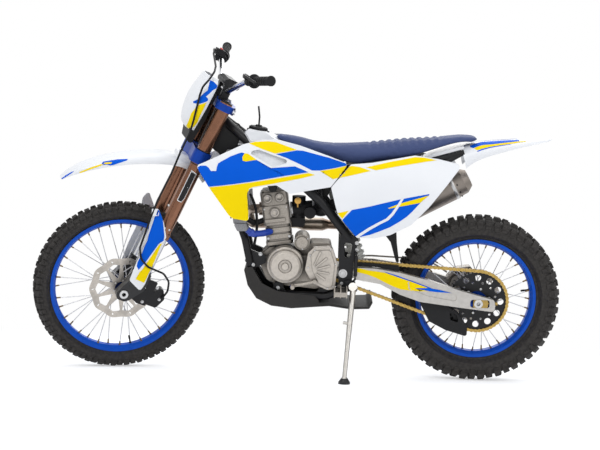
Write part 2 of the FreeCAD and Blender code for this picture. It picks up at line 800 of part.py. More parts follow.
def build_engine_covers():
    body = new_body("engine_covers", "bike")
    reach = size("cover_radius")
    flywheel = [(-104, 0), (-104, reach + 8), (-114, reach + 8), (-117, reach), (-138, reach - 2), (-146,
                                                                                                    reach - 10),
                (-146, 28), (-142, 24), (-142, 15), (-150, 13), (-150, 0)]
    spin_at(body, flywheel, "crank_x", "crank_z", [0, 0, 2, 2, 3, 3, 1, 1, 1, 1, 0])
    outline = [(40, 520), (60, 540), (134, 545), (157, 478), (150, 379), (120, 374), (60, 400), (30, 452)]
    side_pad(body, flat_curves(outline, 14), "-132", "-86")
    inner = [(52, 512), (66, 530), (126, 534), (145, 478), (138, 390), (120, 386), (86, 402), (60, 452)]
    side_pad(body, flat_curves(inner, 12), "-136", "-132")
    ribs = []
    focus = V(56, 452, 0)
    for index in range(5):
        angle = math.radians(-34 + 25 * index)
        ray = V(math.cos(angle), math.sin(angle), 0)
        side = V(-ray.y, ray.x, 0) * 1.8
        start, goal = focus + ray * 22, focus + ray * (66 + 4 * index)
        ribs += curves([start - side, goal - side * 2, goal + side * 2, start + side])
    side_pad(body, ribs, "-140", "-136")
    side_pad(body, circle(30, 440, 80), "66", "102")
    side_pad(body, circle(30, 440, 72), "102", "118")
    side_pad(body, circle(30, 440, 60), "118", "124")
    side_pad(body, circle(-86, 424, 25), "66", "112")
    side_pad(body, circle(-86, 424, 12), "112", "124")


CYLINDER_FOOT = V(-73, 0, 528)
CYLINDER_PLACE = FreeCAD.Placement(CYLINDER_FOOT, FreeCAD.Rotation(V(0, 1, 0), -size("cylinder_lean")))


def cylinder_layers():
    layers = [(11, 24, 54, 66), (24, 34, 47, 60), (34, 52, 51, 64), (52, 60, 46, 60), (60, 78, 50, 64),
              (78, 92, 46, 60), (92, 168, 54, 70), (168, 176, 50, 66), (176, 222, 54, 66)]
    return layers


def build_cylinder():
    body = new_body("cylinder", "bike")
    body.Placement = CYLINDER_PLACE
    for low, high, wide, deep in cylinder_layers():
        plan_pad(body, flat_curves(rectangle(wide, deep), 14), str(low), str(high))
    plan_pad(body, flat_curves(rectangle(46, 58), 12), "222", "230")
    side_pad(body, circle(-4, 142, 19), "-77", "-60")
    side_pocket(body, circle(-4, 142, 11), "-78", "-72")
    for x in (-26, 22):
        side_pad(body, circle(x, 200, 16), "-71", "-60")
        side_pocket(body, circle(x, 200, 11), "-72", "-65")
    side_pad(body, flat_curves([(-46, 104), (34, 104), (34, 116), (-46, 116)], 3), "-76", "-60")


def cylinder_block():
    solid = Part.makeBox(110, 144, 236, V(-55, -72, -2))
    solid.Placement = CYLINDER_PLACE
    return solid


def intake_shape():
    start, goal = V(-36, 0, 671), V(64, 0, 684)
    throttle = turned_along(start, goal, [(0, 30), (30, 30), (30, 36), (40, 36), (40, 30), (100, 30)])
    slide = rod(V(-4, 0, 610), V(-4, 0, 728), 27)
    bowl = side_prism([(-32, 606), (18, 606), (24, 642), (-36, 642)], 8, -29, 29)
    shaft = cross_rod(26, 678, -50, 54, 9)
    drum = cross_rod(26, 678, 40, 54, 24)
    pump = cross_rod(42, 669, -66, -16, 23)
    boot = bent_tube([(40, 0, 682), (88, -32, 675), (150, -66, 712), (214, -52, 790)], 24, 36)
    box = side_prism([(198, 752), (250, 742), (330, 812), (290, 842), (206, 834)], 16, -60, 60)
    return fused([throttle, slide, bowl, shaft, drum, pump, boot, box]).cut(cylinder_block())


SILENCER_TILT = 61.4
SILENCER_PLACE = FreeCAD.Placement(V(412, 126, 660), FreeCAD.Rotation(V(0, 1, 0), SILENCER_TILT))


def on_silencer(along):
    return tuple(SILENCER_PLACE.multVec(V(0, 0, along)))


EXHAUST_PATH = [(-158, 24, 668), (-206, 30, 664), (-196, 60, 600), (-120, 136, 590), (60, 148, 594),
                (266, 142, 592), on_silencer(-105), on_silencer(-60)]


def exhaust_shape(extra=0):
    pipe = bent_tube(EXHAUST_PATH, 19 + extra, 40)
    start = V(*EXHAUST_PATH[0])
    flange = rod(start + V(18, 0, 0), start - V(6, 1, 0), 27)
    bulge = turned_along(V(-10, 143, 592), V(120, 145, 594), [(0, 19), (24, 27 + extra), (104, 27 + extra),
                                                              (128, 19)])
    return fused([pipe, flange, bulge]).cut(cylinder_block())


def silencer_shape(extra=0):
    length = 285
    steps = [(-60, 20 + extra), (-40, 30 + extra), (0, 45 + extra), (8, 47 + extra), (length - 40,
                                                                                      47 + extra),
             (length - 36, 45 + extra), (length, 43 + extra), (length + 26, 28 + extra)]
    profile = [V(0, 0, steps[0][0])] + [V(out, 0, along) for along, out in steps] + [V(0, 0, steps[-1][0])]
    body = Part.Face(Part.makePolygon(profile + [profile[0]])).revolve(V(0, 0, 0), V(0, 0, 1), 360)
    if extra == 0:
        body = body.cut(Part.makeCylinder(16, 60, V(0, 0, length - 30)))
    matrix = FreeCAD.Matrix()
    matrix.scale(1.26, 0.86, 1)
    body = body.transformGeometry(matrix)
    body.Placement = SILENCER_PLACE
    return body


def silencer_node():
    hanger = side_prism([(548, 750), (600, 780), (604, 900), (556, 880)], 6, 62, 74)
    arm = rod(V(572, 66, 790), V(572, 96, 778), 12)
    return fused([once(silencer_shape), hanger, arm]).cut(once(subframe_shape))


# Bodywork
def shroud_shape():
    outline = [(-403, 860), (-376, 871), (-304, 906), (-224, 944), (-151, 962), (-95, 964), (-5, 943), (112, 904),
               (186, 876), (120, 786), (-38, 758), (-92, 791), (-146, 786), (-192, 776), (-204, 760), (-193, 647),
               (-255, 657), (-271, 668), (-351, 779)]
    prism = side_prism(outline, 12, -260, -60)
    slot = side_prism([(-206, 916), (-166, 926), (-34, 882), (-106, 860)], 9, -260, -60)
    stations = [(-420, -208), (-310, -208), (-200, -198), (-60, -176), (70, -152), (200, -122)]
    bulge = [(620, 12), (740, 0), (840, 2), (900, 18), (950, 44), (1000, 80)]
    return side_skin(stations, bulge).common(prism.cut(slot))


def side_panel_shape():
    outline = [(196, 874), (277, 883), (446, 915), (540, 903), (618, 886), (627, 870), (509, 722), (438, 648),
               (358, 606), (300, 592), (229, 590), (201, 621), (152, 678), (139, 718), (121, 784)]
    prism = side_prism(outline, 10, -220, -40)
    stations = [(60, -146), (200, -158), (350, -160), (500, -146), (650, -114)]
    bulge = [(580, 6), (660, 0), (740, 4), (820, 20), (880, 44), (940, 76)]
    return side_skin(stations, bulge).common(prism)


def side_panels():
    panel = side_panel_shape()
    right = cut_by(mirrored(panel), [silencer_shape(7), exhaust_shape(6)])
    return group_solids([panel, max(right.Solids, key=lambda solid: solid.Volume)])


def tank_shape():
    outline = [(-236, 938), (-234, 972), (-211, 994), (-140, 984), (-104, 960), (-4, 924), (110, 886),
               (110, 838),
               (-60, 806), (-200, 850)]
    side = side_prism(outline, 14, -110, 110)
    plan = plan_prism([(-240, -62), (-200, -98), (-80, -98), (112, -66), (112, 66), (-80, 98), (-200, 98),
                       (-240, 62)],
                      24, 780, 1040)
    front = end_prism([(-110, 780), (-110, 930), (-70, 1000), (70, 1000), (110, 930), (110, 780)], 30,
                      -260, 140)
    core = side.common(plan).common(front)
    others = [spar(3), mirrored(spar(3)), head_steady(1), mirrored(head_steady(1)), moved(once(seat_shape),
                                                                                          z=-0.5), once(subframe_shape), once(intake_shape)]
    core = cut_by(core, others)
    return max(core.Solids, key=lambda solid: solid.Volume)


def filler_cap_shape():
    cap = turned_along(V(-176, 0, 984), V(-173.7, 0, 1000), [(0, 38), (14, 38), (18, 32), (18, 14), (24, 12)])
    rim = turned_along(V(-176, 0, 980), V(-174, 0, 996), [(0, 45), (8, 45)])
    hose = bent_tube([(-173, 0, 1004), (-171, 0, 1040), (-176, 0, 1082)], 3.5, 20)
    return fused([cap, rim, hose]).cut(once(tank_shape))


def seat_section(x, low, high, half):
    edge = low + 0.45 * (high - low)
    shoulder = low + 0.88 * (high - low)
    points = [V(x, -half * 0.86, low), V(x, half * 0.86, low), V(x, half, edge), V(x, half * 0.86, shoulder),
              V(x, 0, high), V(x, -half * 0.86, shoulder), V(x, -half, edge)]
    return Part.Wire(Part.makePolygon(points + [points[0]]).Edges)


def seat_shape():
    stations = [(-100, 958, 972, 40), (-60, 944, 974, 52), (33, 917, 950, 66), (112, 896, 941, 74), (200,
                                                                                                     874,
                                                                                                     944,
                                                                                                     80),
                (300, 884, 953, 84), (400, 902, 966, 86), (540, 946, 977, 84), (640, 972, 989, 76), (692,
                                                                                                     980,
                                                                                                     986,
                                                                                                     66)]
    return Part.makeLoft([seat_section(*station) for station in stations], True, False)


def rear_fender_shape():
    stations = [(630, 950, 80, 84), (700, 968, 80, 60), (781, 977, 78, 42), (860, 984, 72, 27), (930, 990,
                                                                                                 64, 16),
                (984, 995, 42, 8)]
    shell = crowned_shell(stations, size("panel_thickness") + 1)
    tray = side_prism([(440, 876), (520, 920), (640, 954), (640, 944), (520, 908), (446, 868)], 3, -60, 60)
    return cut_by(fused([shell, tray]), [moved(once(seat_shape), z=-0.4), once(subframe_shape),
                                         silencer_shape(6)])


def inner_fender_shape():
    strip = [(300, 600), (340, 640), (372, 700), (440, 800), (520, 870), (628, 924), (634, 914), (528,
                                                                                                  860), (450, 790),
             (384, 694), (372, 640), (392, 560), (404, 481), (392, 481), (368, 560), (345, 588)]
    panel = side_prism(strip, 6, -52, 52)
    sides = side_prism([(300, 600), (345, 588), (368, 560), (392, 481), (404, 481), (392, 560), (384, 660),
                        (352, 640)],
                       6, -58, -52)
    return fused([panel, sides, mirrored(sides)]).cut(once(subframe_shape))


# Rear suspension
ARM_OUTLINE = [(220, 466), (306, 465), (406, 452), (526, 424), (646, 388), (784, 354), (788, 306), (649, 320),
               (490, 338), (409, 364), (328, 404), (220, 420)]


def swingarm_shape():
    x, z = size("pivot_x"), size("pivot_z")
    arm = side_prism(ARM_OUTLINE, 14, -134, -94)
    plan = plan_prism([(200, -124), (430, -130), (800, -130), (800, -104), (430, -98), (300, -94), (200,
                                                                                                    -96)], 30,
                      280, 500)
    arm = arm.common(plan)
    groove = side_prism([(440, 428), (520, 408), (632, 372), (634, 344), (520, 362), (446, 388)], 10, -134,
                        -126)
    nose = side_prism([(x - 19, 450), (x, 466), (x + 60, 466), (x + 60, 420), (x, 414), (x - 19, 430)], 10,
                      -95, -84)
    bridge = side_prism([(x + 44, 462), (290, 462), (290, 412), (x + 44, 424)], 8, -100, -84)
    yoke = side_prism([(240, 456), (330, 450), (330, 405), (240, 414)], 8, -84, 84)
    yoke = yoke.cut(Part.makeBox(80, 76, 100, V(220, -38, 380)))
    half = [arm.cut(groove), nose, bridge]
    body = fused(half + [mirrored(shape) for shape in half] + [yoke, cross_rod(x, z, -92, 92, 24)])
    window = side_prism([(688, 354), (764, 354), (764, 322), (688, 322)], 10, -140, 140)
    tunnel = side_prism([(x - 60, 520), (430, 520), (430, 330), (x - 60, 330)], 2, -84, -60)
    bolts = [rod(V(740, side * 117, 338), V(830, side * 117, 338), 4) for side in (-1, 1)]
    return cut_by(body, [cross_rod(x, z, -140, 140, 10), window, tunnel] + bolts)


def build_adjusters():
    body = new_body("chain_adjusters", "bike")
    block = side_pad(body, flat_curves([(700, 322.4), (758, 322.4), (758, 353.6), (700, 353.6)], 6),
                     "-130", "-104")
    bore = side_pocket(body, circle(720, 338, size("axle_radius")), "-131", "-103")
    bolt = end_pad(body, circle_at(-117, 338, 3.9), 758, 790)
    nut = end_pad(body, circle_at(-117, 338, 7), 788, 797)
    mirror_pattern(body, [block, bore, bolt, nut])


def end_pad(body, pieces, low, high):
    pad = body.newObject("PartDesign::Pad", body.Name + "_pad")
    pad.Profile = add_sketch(body, "YZ_Plane", pieces, str(low))
    pad.Length = high - low
    return pad


def circle_at(y, z, radius):
    return [Part.Circle(V(y, z, 0), V(0, 0, 1), radius)]


def shock_shape():
    top = V(120, 0, 800)
    low = V(268, 0, 402)
    steps = [(0, 18), (20, 27), (120, 27), (120, 36), (130, 36)]
    coils = 8
    for index in range(coils):
        start = 134 + index * 25
        steps += [(start, 27), (start + 5, 36), (start + 14, 36), (start + 19, 27)]
    steps += [(334, 27), (334, 34), (342, 34), (342, 12), (418, 12)]
    body = turned_along(top, low, steps)
    reservoir = rod(V(142, 64, 778), V(194, 64, 758), 20)
    neck = rod(V(152, 18, 762), V(168, 62, 768), 12)
    return fused([body, reservoir, neck, cross_rod(top.x, top.z, -29, 29, 12), cross_rod(low.x, low.z + 6,
                                                                                         -38, 38, 13)])


def chain_guides():
    outer = side_prism([(494, 322), (508, 348), (600, 318), (644, 290), (684, 236), (684, 196), (598, 220),
                        (530, 254)],
                       9, -98, -50)
    channel = side_prism([(470, 283), (700, 204), (700, 420), (585, 420), (575, 270), (470, 306)], 2, -86,
                         -58)
    outer = outer.cut(channel)
    outer = outer.cut(side_prism([(616, 262), (650, 250), (640, 282), (612, 296)], 6, -99, -86))
    slider = side_prism([(226, 467), (306, 466), (402, 454), (402, 474), (250, 482), (226, 478)], 4, -94, -82)
    blade = side_prism([(330, 460), (404, 452), (404, 470), (330, 476)], 4, -98, -90)
    return group_solids([cut_by(outer, [once(swingarm_shape)]), cut_by(fused([slider, blade]),
                                                                       [once(swingarm_shape)])])


def rear_caliper():
    body = side_prism([(604, 404), (640, 446), (700, 456), (722, 430), (696, 398), (640, 366)], 12, 60, 94)
    bridge = side_prism([(604, 404), (640, 446), (700, 456), (714, 440), (690, 448), (640, 430), (612,
                                                                                                  398)], 6, 44, 60)
    bridge = bridge.cut(rod(V(REAR_AXLE.x, 40, REAR_AXLE.z), V(REAR_AXLE.x, 66, REAR_AXLE.z),
                            size("rear_disc_radius") + 6))
    arm = side_prism([(600, 380), (650, 380), (690, 410), (730, 360), (730, 320), (700, 320), (640, 350)],
                     8, 88, 97.5)
    arm = arm.cut(cross_rod(REAR_AXLE.x, REAR_AXLE.z, 60, 120, size("axle_radius")))
    hose = bent_tube([(612, 90, 420), (560, 92, 452), (420, 92, 474), (300, 92, 478), (250, 92, 476)], 3.5,
                     30)
    return fused([body, bridge, arm, hose]).cut(once(swingarm_shape))


def build_axle(label, frame, half, place):
    body = new_body(label, frame)
    body.Placement = place
    outside, bore = size("axle_radius"), size("axle_bore")
    end = size(half)
    spin_across(body, [(-end - 6, bore), (-end - 6, outside + 5), (-end, outside + 5), (-end, outside),
                       (end, outside), (end, outside + 5), (end + 6, outside + 5), (end + 6, bore)],
                [0, 2, 0, 0, 0, 0, 2, 0])


# Front end, in the fork's own frame
def build_clamp(label, low, high):
    body = new_body(label, "fork")
    reach = size("clamp_reach")
    outline = [(LEG_A - reach, -HALF_LEGS), (LEG_A - reach + 12, 0), (LEG_A - reach, HALF_LEGS),
               (LEG_A + reach, HALF_LEGS),
               (34, 40), (34, -40), (LEG_A + reach, -HALF_LEGS)]
    plan_pad(body, flat_curves(outline, [4, 60, 4, 4, 24, 24, 4]), low, high)
    for side in (-1, 1):
        plan_pad(body, circle(LEG_A, side * HALF_LEGS, reach), low, high)
        bore = add_sketch(body, "XY_Plane", circle(LEG_A, side * HALF_LEGS, 1), high + " + 1")
        bind_circle(bore, 0, "Sizes.outer_tube_radius")
        cut = body.newObject("PartDesign::Pocket", body.Name + "_bore")
        cut.Profile = bore
        cut.setExpression("Length", "(%s) - (%s) + 2" % (high, low))
    for side in (-1, 1):
        plan_pocket(body, flat_curves(rectangle(14, 20, -2, side * 54), 8), low + " - 1", high + " + 1")
    return body


def build_clamps():
    lower = build_clamp("lower_clamp", "-66", "-14")
    plan_pad(lower, circle(0, 0, size("stem_radius")), "-20", "163")
    plan_pad(lower, circle(0, 0, 18), "-14", "-9")
    upper = build_clamp("upper_clamp", "163", "191")
    plan_pad(upper, circle(0, 0, 20), "191", "199")
    for side in (-1, 1):
        plan_pad(upper, circle(-30, side * 46, 17), "191", "194")


def build_outer_tubes():
    body = new_body("fork_outer_tubes", "fork")
    outside, inside = size("outer_tube_radius"), size("inner_tube_radius")
    leg = spin_leg(body, [(-396, inside), (-396, outside + 2), (-374, outside + 2), (-368, outside), (190, outside),
                          (195, outside - 3), (195, 14), (201, 12), (201, 0), (-380, 0), (-380, inside)])
    mirror_pattern(body, [leg])


def build_inner_tubes():
    body = new_body("fork_inner_tubes", "fork")
    inside = size("inner_tube_radius")
    tube = spin_leg(body, [(AXLE_B + 60, 0), (AXLE_B + 60, inside + 3), (AXLE_B + 116, inside + 3),
                           (AXLE_B + 122, inside), (-381, inside), (-381, 0)])
    foot = [(LEG_A - 28, AXLE_B + 112), (LEG_A + 26, AXLE_B + 112), (LEG_A + 24, AXLE_B + 40),
            (AXLE_A + 30, AXLE_B - 16),
            (AXLE_A + 14, AXLE_B - 28), (AXLE_A - 18, AXLE_B - 28), (AXLE_A - 30, AXLE_B - 8), (LEG_A - 46,
                                                                                                AXLE_B + 64)]
    lug = side_pad(body, flat_curves(foot, [6, 4, 20, 16, 8, 14, 20, 24]), "-Sizes.half_legs - 22",
                   "-Sizes.half_legs + 22")
    bore = side_pocket(body, circle(AXLE_A, AXLE_B, size("axle_radius")), "-Sizes.half_legs - 30",
                       "-Sizes.half_legs + 30")
    mirror_pattern(body, [tube, lug, bore])


BAR_B = size("bar_rise")
BAR_PATH = [(-30, 0, BAR_B), (-30, -66, BAR_B), (-28, -246, BAR_B + 80), (9, -size("bar_half"), BAR_B + 130)]


def bar_point(share):
    inner, outer = V(*BAR_PATH[2]), V(*BAR_PATH[3])
    return inner + (outer - inner) * share


def handlebar_shape():
    half = bent_tube(BAR_PATH, size("bar_radius"), 45)
    return fused([half, mirrored(half)])


def bar_mounts():
    post = plan_prism(rectangle(17, 15, -30, -46), 7, 194, BAR_B + 16)
    cap = side_prism([(-52, BAR_B + 2), (-48, BAR_B + 20), (-12, BAR_B + 20), (-8, BAR_B + 2)], 8, -62, -30)
    low, high = BAR_B + 17, BAR_B + 48
    pad = side_prism([(-56, low), (-60, high - 14), (-44, high), (-8, high), (10, high - 14), (4, low)], 8,
                     -66, 66)
    hole = rod(V(-30, -90, BAR_B), V(-30, 90, BAR_B), size("bar_radius"))
    return fused([post, mirrored(post), cap, mirrored(cap), pad]).cut(hole).cut(once(handlebar_shape))


def grips():
    inner, outer = bar_point(0.30), bar_point(1)
    along = (outer - inner).normalize()
    radius = size("grip_radius")
    steps = [(0, 27), (5, 27), (6, radius + 1)]
    length = (outer - inner).Length + 4
    ridges = 6
    for index in range(ridges):
        start = 14 + index * 16
        steps += [(start, radius + 1), (start + 1, radius - 1), (start + 4, radius - 1), (start + 5,
                                                                                          radius + 1)]
    steps += [(length - 8, radius), (length - 6, radius + 3), (length, radius + 3)]
    grip = turned_along(inner, outer, steps)
    return pair(grip.cut(rod(inner - along * 10, outer, size("bar_radius"))))


def lever():
    low = BAR_B + 94
    blade = plan_prism([(-30, -250), (-58, -262), (-62, -300), (-46, -380), (-42, -400), (-34, -400), (-36,
                                                                                                       -376),
                        (-50, -304), (-40, -274), (-24, -258)], 6, low, low + 9)
    return blade


def hand_controls():
    bar = once(handlebar_shape)
    ring = rod(bar_point(0.06), bar_point(0.18), 18)
    low = BAR_B + 86
    arm = side_prism([(-54, low), (-50, low + 20), (-20, low + 16), (-14, low)], 6, -276, -250)
    left = fused([ring, arm, lever()]).cut(bar)
    drum = rod(bar_point(0.20), bar_point(0.285), 25)
    master = rod(V(-58, -214, low - 4), V(-44, -262, low + 12), 12)
    pot = Part.makeBox(40, 34, 26, V(-72, -246, low + 8))
    right = fused([ring, arm, lever(), master, pot, drum]).cut(bar)
    switch = rod(bar_point(0.21), bar_point(0.275), 19).cut(bar)
    return group_solids([left, switch, mirrored(right)])


def wrap_section(b, front, back, half):
    thick = size("panel_thickness")

    def line(inset):
        nose = front + inset
        wide = half - inset
        points = [(back, -wide), (nose + 22, -wide), (nose + 4, -0.72 * wide), (nose, 0), (nose + 4,
                                                                                           0.72 * wide),
                  (nose + 22, wide), (back, wide)]
        return [V(a, y, b) for a, y in points]

    return skin_section(line(0), line(thick))


def number_plate_shape():
    stations = [(37, -112, -84, 62), (60, -130, -86, 78), (108, -141, -86, 92), (150, -144, -84, 95), (190,
                                                                                                       -141, -82, 92),
                (230, -134, -80, 84), (262, -128, -86, 70)]
    return Part.makeLoft([wrap_section(*station) for station in stations], True, False)


def headlight_box():
    box = side_prism([(-98, 22), (-110, 60), (-116, 150), (-64, 163), (-60, 100), (-70, -10), (-90, -10)],
                     12, -66, 66)
    stays = side_prism([(-84, 163), (-84, 205), (-58, 205), (-58, 163)], 5, -60, -48)
    return fused([box, stays, mirrored(stays)]).cut(clamp_envelope()).cut(once(number_plate_shape))


def clamp_envelope():
    envelope = plan_prism(rectangle(34, 150, -26, 0), 2, 162.8, 192)
    return envelope


def front_fender_shape():
    stations = [(-958, 800, 26, 8), (-900, 842, 48, 22), (-828, 871, 60, 30), (-740, 890, 66, 34), (-640,
                                                                                                    900,
                                                                                                    68, 38),
                (-540, 897, 66, 40), (-470, 876, 60, 36), (-415, 832, 54, 26), (-388, 784, 48, 16)]
    shell = crowned_shell(stations, size("panel_thickness") + 1)
    shell.Placement = FORK_FRAME.inverse()
    mount = side_prism([(-92, -30), (-52, -15), (-12, -66.5), (-12, -84), (-58, -110), (-92, -80)], 6, -44,
                       44)
    mount = mount.cut(plan_prism(rectangle(70, 160, -26, 0), 2, -66, -13))
    return fused([shell, mount])


def fork_guards():
    outline = [(-96, -284), (-50, -331), (-14, -383), (-20, -422), (-9, -587), (-14, -624), (-72, -600),
               (-78, -519),
               (-77, -421), (-92, -374), (-108, -319)]
    guard = side_prism(outline, 10, -HALF_LEGS - 60, -60)
    plan = [V(-124, -112, -660), V(-62, -134, -660), V(0, -132, -660)]
    thick = size("panel_thickness") + 1
    inner = [point + V(0, thick, 0) for point in plan]
    wall = Part.Wire([Part.Arc(*plan).toShape(), Part.LineSegment(plan[2], inner[2]).toShape(),
                      Part.Arc(inner[2], inner[1], inner[0]).toShape(), Part.LineSegment(inner[0],
                                                                                         plan[0]).toShape()])
    skin = Part.Face(wall).extrude(V(0, 0, 420)).common(guard)
    boss = rod(V(LEG_A, -HALF_LEGS - 34, -580), V(LEG_A, -HALF_LEGS - 27.6, -580), 11)
    clip = side_prism([(-116, -300), (-90, -290), (-80, -314), (-104, -326)], 5, -136, -126)
    left = fused([skin, boss, clip]).cut(hose_tube(4.2))
    right = mirrored(fused([skin, boss]))
    return group_solids([left, right])


def caliper_shape():
    bracket = side_prism([(-34, -673), (8, -690), (46, -688), (54, -579), (14, -580), (18, -624), (-10,
                                                                                                   -650)], 6, -78, -70)
    body = side_prism([(30, -646), (83, -590), (108, -634), (90, -680), (46, -682)], 12, -76, -51)
    bridge = side_prism([(30, -646), (83, -590), (108, -634), (90, -680), (46, -682)], 12, -52, -37)
    disc = rod(V(AXLE_A, -90, AXLE_B), V(AXLE_A, 90, AXLE_B), size("front_disc_radius") + 6)
    return fused([bracket, body, bridge.cut(disc)])


HOSE_PATH = [(-76, 232, 343), (-84, 190, 330), (-92, 90, 314), (-100, 0, 300), (-112, -66, 284), (-126, -102, 250),
             (-137, -102, 215), (-133, -101, 180), (-112, -101, 82), (-104, -102, 30), (-106, -108, -50),
             (-104, -118, -142), (-110, -131, -262), (-106, -134, -330), (-94, -141, -460), (-70, -141, -500),
             (-30, -138, -520), (44, -126, -524), (84, -106, -552), (99, -96, -593), (94, -80.2, -636)]


def hose_tube(radius):
    return bent_tube(HOSE_PATH, radius, 40)


# Side stand, its leg square to the ground when parked
def stand_points(places):
    upright = places["bike"].inverse()
    down = upright.Rotation.multVec(V(0, 0, -1))
    foot = V(size("foot_x"), -size("foot_y"), 0)
    foot.z = -(places["bike"].multVec(foot)).z / places["bike"].Rotation.multVec(V(0, 0, 1)).z
    top = V(size("stand_x"), -size("stand_y"), size("stand_z"))
    return top, foot, down


STAND_FOLDED = V(0.985, -0.16, 0.04).normalize()


def stand_axis(top, foot):
    return (foot - top).normalize().cross(STAND_FOLDED).normalize()


def stand_shape(places):
    top, foot, down = stand_points(places)
    reach = size("foot_radius")
    ankle = foot - down * 22
    leg = turned_along(top, ankle, [(0, 11.5), (60, 11.5), ((ankle - top).Length, 9)])
    cone = turned_along(foot, foot - down * 26, [(0, reach), (8, reach), (26, reach * 0.45)])
    axis = stand_axis(top, foot)
    eye = rod(top - axis * 12, top + axis * 12, 17)
    nub = rod(foot + (top - foot) * 0.62, foot + (top - foot) * 0.62 + V(-26, -4, 4), 6)
    return fused([leg, cone, eye, nub])


def stand_bracket(places):
    x, z = size("stand_x"), size("stand_z")
    top, foot, down = stand_points(places)
    axis = stand_axis(top, foot)
    inward = axis if axis.y > 0 else axis * -1
    pin = rod(top + inward * 12.2, top + inward * 32, 13)
    block = side_prism([(x - 32, z - 24), (x - 32, z + 24), (x + 8, z + 20), (x + 14, z - 18)], 8, -130, -117)
    spring_top, spring_low = V(230, -139, 532), V(228, -139, 418)
    spring = turned_along(spring_top, spring_low, [(0, 3), (16, 3), (17, 7), (98, 7), (99, 3), (114, 3)])
    eyelet = rod(V(229, -141, 424), V(214, -124, 404), 4)
    post = rod(V(230, -143, 526), V(226, -110, 524), 5)
    return fused([block, pin, spring, post, eyelet]).cut(once(frame_shape))


# Small fittings on the frame
def footpegs():
    comb = [(-222, 362), (-222, 388)]
    teeth = 8
    for index in range(teeth):
        start = -222 + index * 10
        comb += [(start + 2, 396), (start + 6, 396), (start + 9, 388)]
    comb += [(-140, 388), (-140, 362)]
    front = end_prism(comb, 0, 146, 150)
    rear = end_prism(comb, 0, 194, 198)
    middle = end_prism(comb, 0, 170, 174)
    bars = [Part.makeBox(50, 6, 18, V(147, y, 366)) for y in (-222, -196, -170, -146)]
    hinge = Part.makeBox(28, 14, 26, V(160, -142, 362))
    bracket = side_prism([(160, 346), (160, 396), (176, 396), (176, 346)], 4, -130, -112)
    peg = fused([front, rear, middle, hinge, bracket] + bars)
    return pair(peg.cut(once(frame_shape)))


def skid_plate():
    wide, wall = 118, 4.5
    floor = [(-214, 450), (-196, 380), (-160, 328), (-100, 300), (-20, 292), (130, 306), (215, 296), (290, 300),
             (304, 328), (296, 330), (284, 308), (215, 304), (130, 318), (-20, 318), (-90, 322), (-140, 344),
             (-176, 390), (-190, 446)]
    tray = side_prism(floor, 8, -wide, wide)
    flank = side_prism([(-210, 447), (-180, 454), (-141, 390), (-79, 360), (-7, 352), (70, 346), (98, 318), (0, 304),
                        (-100, 310), (-150, 336), (-184, 380)], 8, -wide, wall - wide)
    holes = [rod(V(x, y, 280), V(x, y, 330), 12) for x in (-40, 40) for y in (-48, 48)]
    return cut_by(fused([tray, flank, mirrored(flank)]), [rail(0), mirrored(rail(0))] + holes)


def radiators():
    box = side_prism([(-290, 900), (-236, 900), (-204, 630), (-256, 630)], 6, -156, -100)
    low = side_prism([(-256, 632), (-204, 632), (-202, 604), (-240, 602)], 6, -160, -98)
    cap = side_prism([(-294, 898), (-292, 916), (-238, 916), (-234, 898)], 6, -158, -98)
    fins = []
    rows = 9
    for index in range(rows):
        z = 650 + index * 26
        front = -262 - (z - 630) * 0.126
        fins.append(side_prism([(front, z), (front - 5, z), (front - 5, z + 12), (front, z + 12)], 0, -150,
                               -106))
    spout = rod(V(-216, -130, 616), V(-196, -124, 600), 12)
    return pair(fused([box, low, cap, spout] + fins)).cut(once(frame_shape))


def coolant_hoses():
    left = bent_tube([(-204, -126, 606), (-180, -120, 586), (-140, -90, 586), (-104, -56, 592)], 13, 16)
    clamp = rod(V(-192, -123, 597), V(-184, -121, 590), 16)
    return fused([left, clamp]).cut(cylinder_block()).cut(once(radiators))


def foot_controls():
    shaft = cross_rod(69, 409, -156, -132, 8)
    arm = bent_tube([(69, -150, 409), (20, -154, 397), (-17, -154, 391)], 6, 10)
    tip = cross_rod(-17, 391, -192, -150, 8)
    pedal = bent_tube([(124, 128, 346), (60, 142, 346), (-60, 152, 372), (-96, 152, 374)], 7, 30)
    pivot = cross_rod(124, 346, 104, 134, 12)
    shoe = plan_prism([(-118, 138), (-82, 138), (-82, 172), (-118, 172)], 8, 376, 384)
    stop = rod(V(-98, 154, 380), V(-98, 154, 372), 6)
    right = fused([pedal, pivot, shoe, stop]).cut(once(frame_shape))
    left = fused([shaft, arm, tip])
    return group_solids([left, right])


def build_bike(places):
    node("frame", once(frame_shape), "bike")
    node("subframe", once(subframe_shape), "bike")
    build_crankcase()
    build_engine_covers()
    build_cylinder()
    node("intake", once(intake_shape), "bike")
    node("exhaust_pipe", once(exhaust_shape), "bike")
    node("silencer", silencer_node(), "bike")
    node("radiators", once(radiators), "bike")
    node("coolant_hoses", coolant_hoses(), "bike")
    node("radiator_shrouds", pair(shroud_shape()), "bike")
    node("fuel_tank", once(tank_shape), "bike")
    node("filler_cap", filler_cap_shape(), "bike")
    node("seat", once(seat_shape), "bike")
    node("side_panels", side_panels(), "bike")
    node("rear_fender", rear_fender_shape(), "bike")
    node("inner_fender", inner_fender_shape(), "bike")
    node("swingarm", once(swingarm_shape), "bike")
    build_adjusters()
    node("shock_absorber", shock_shape(), "bike")
    node("chain", group_solids([link_band(-1), link_band(1)]), "bike")
    build_front_sprocket()
    node("chain_guides", chain_guides(), "bike")
    node("rear_caliper", rear_caliper(), "bike")
    build_axle("rear_axle", "bike", "rear_axle_half", FreeCAD.Placement(REAR_AXLE, FreeCAD.Rotation()))
    node("footpegs", footpegs(), "bike")
    node("foot_controls", foot_controls(), "bike")
    node("skid_plate", skid_plate(), "bike")
    node("stand_bracket", stand_bracket(places), "bike")
    node("side_stand", stand_shape(places), "bike")


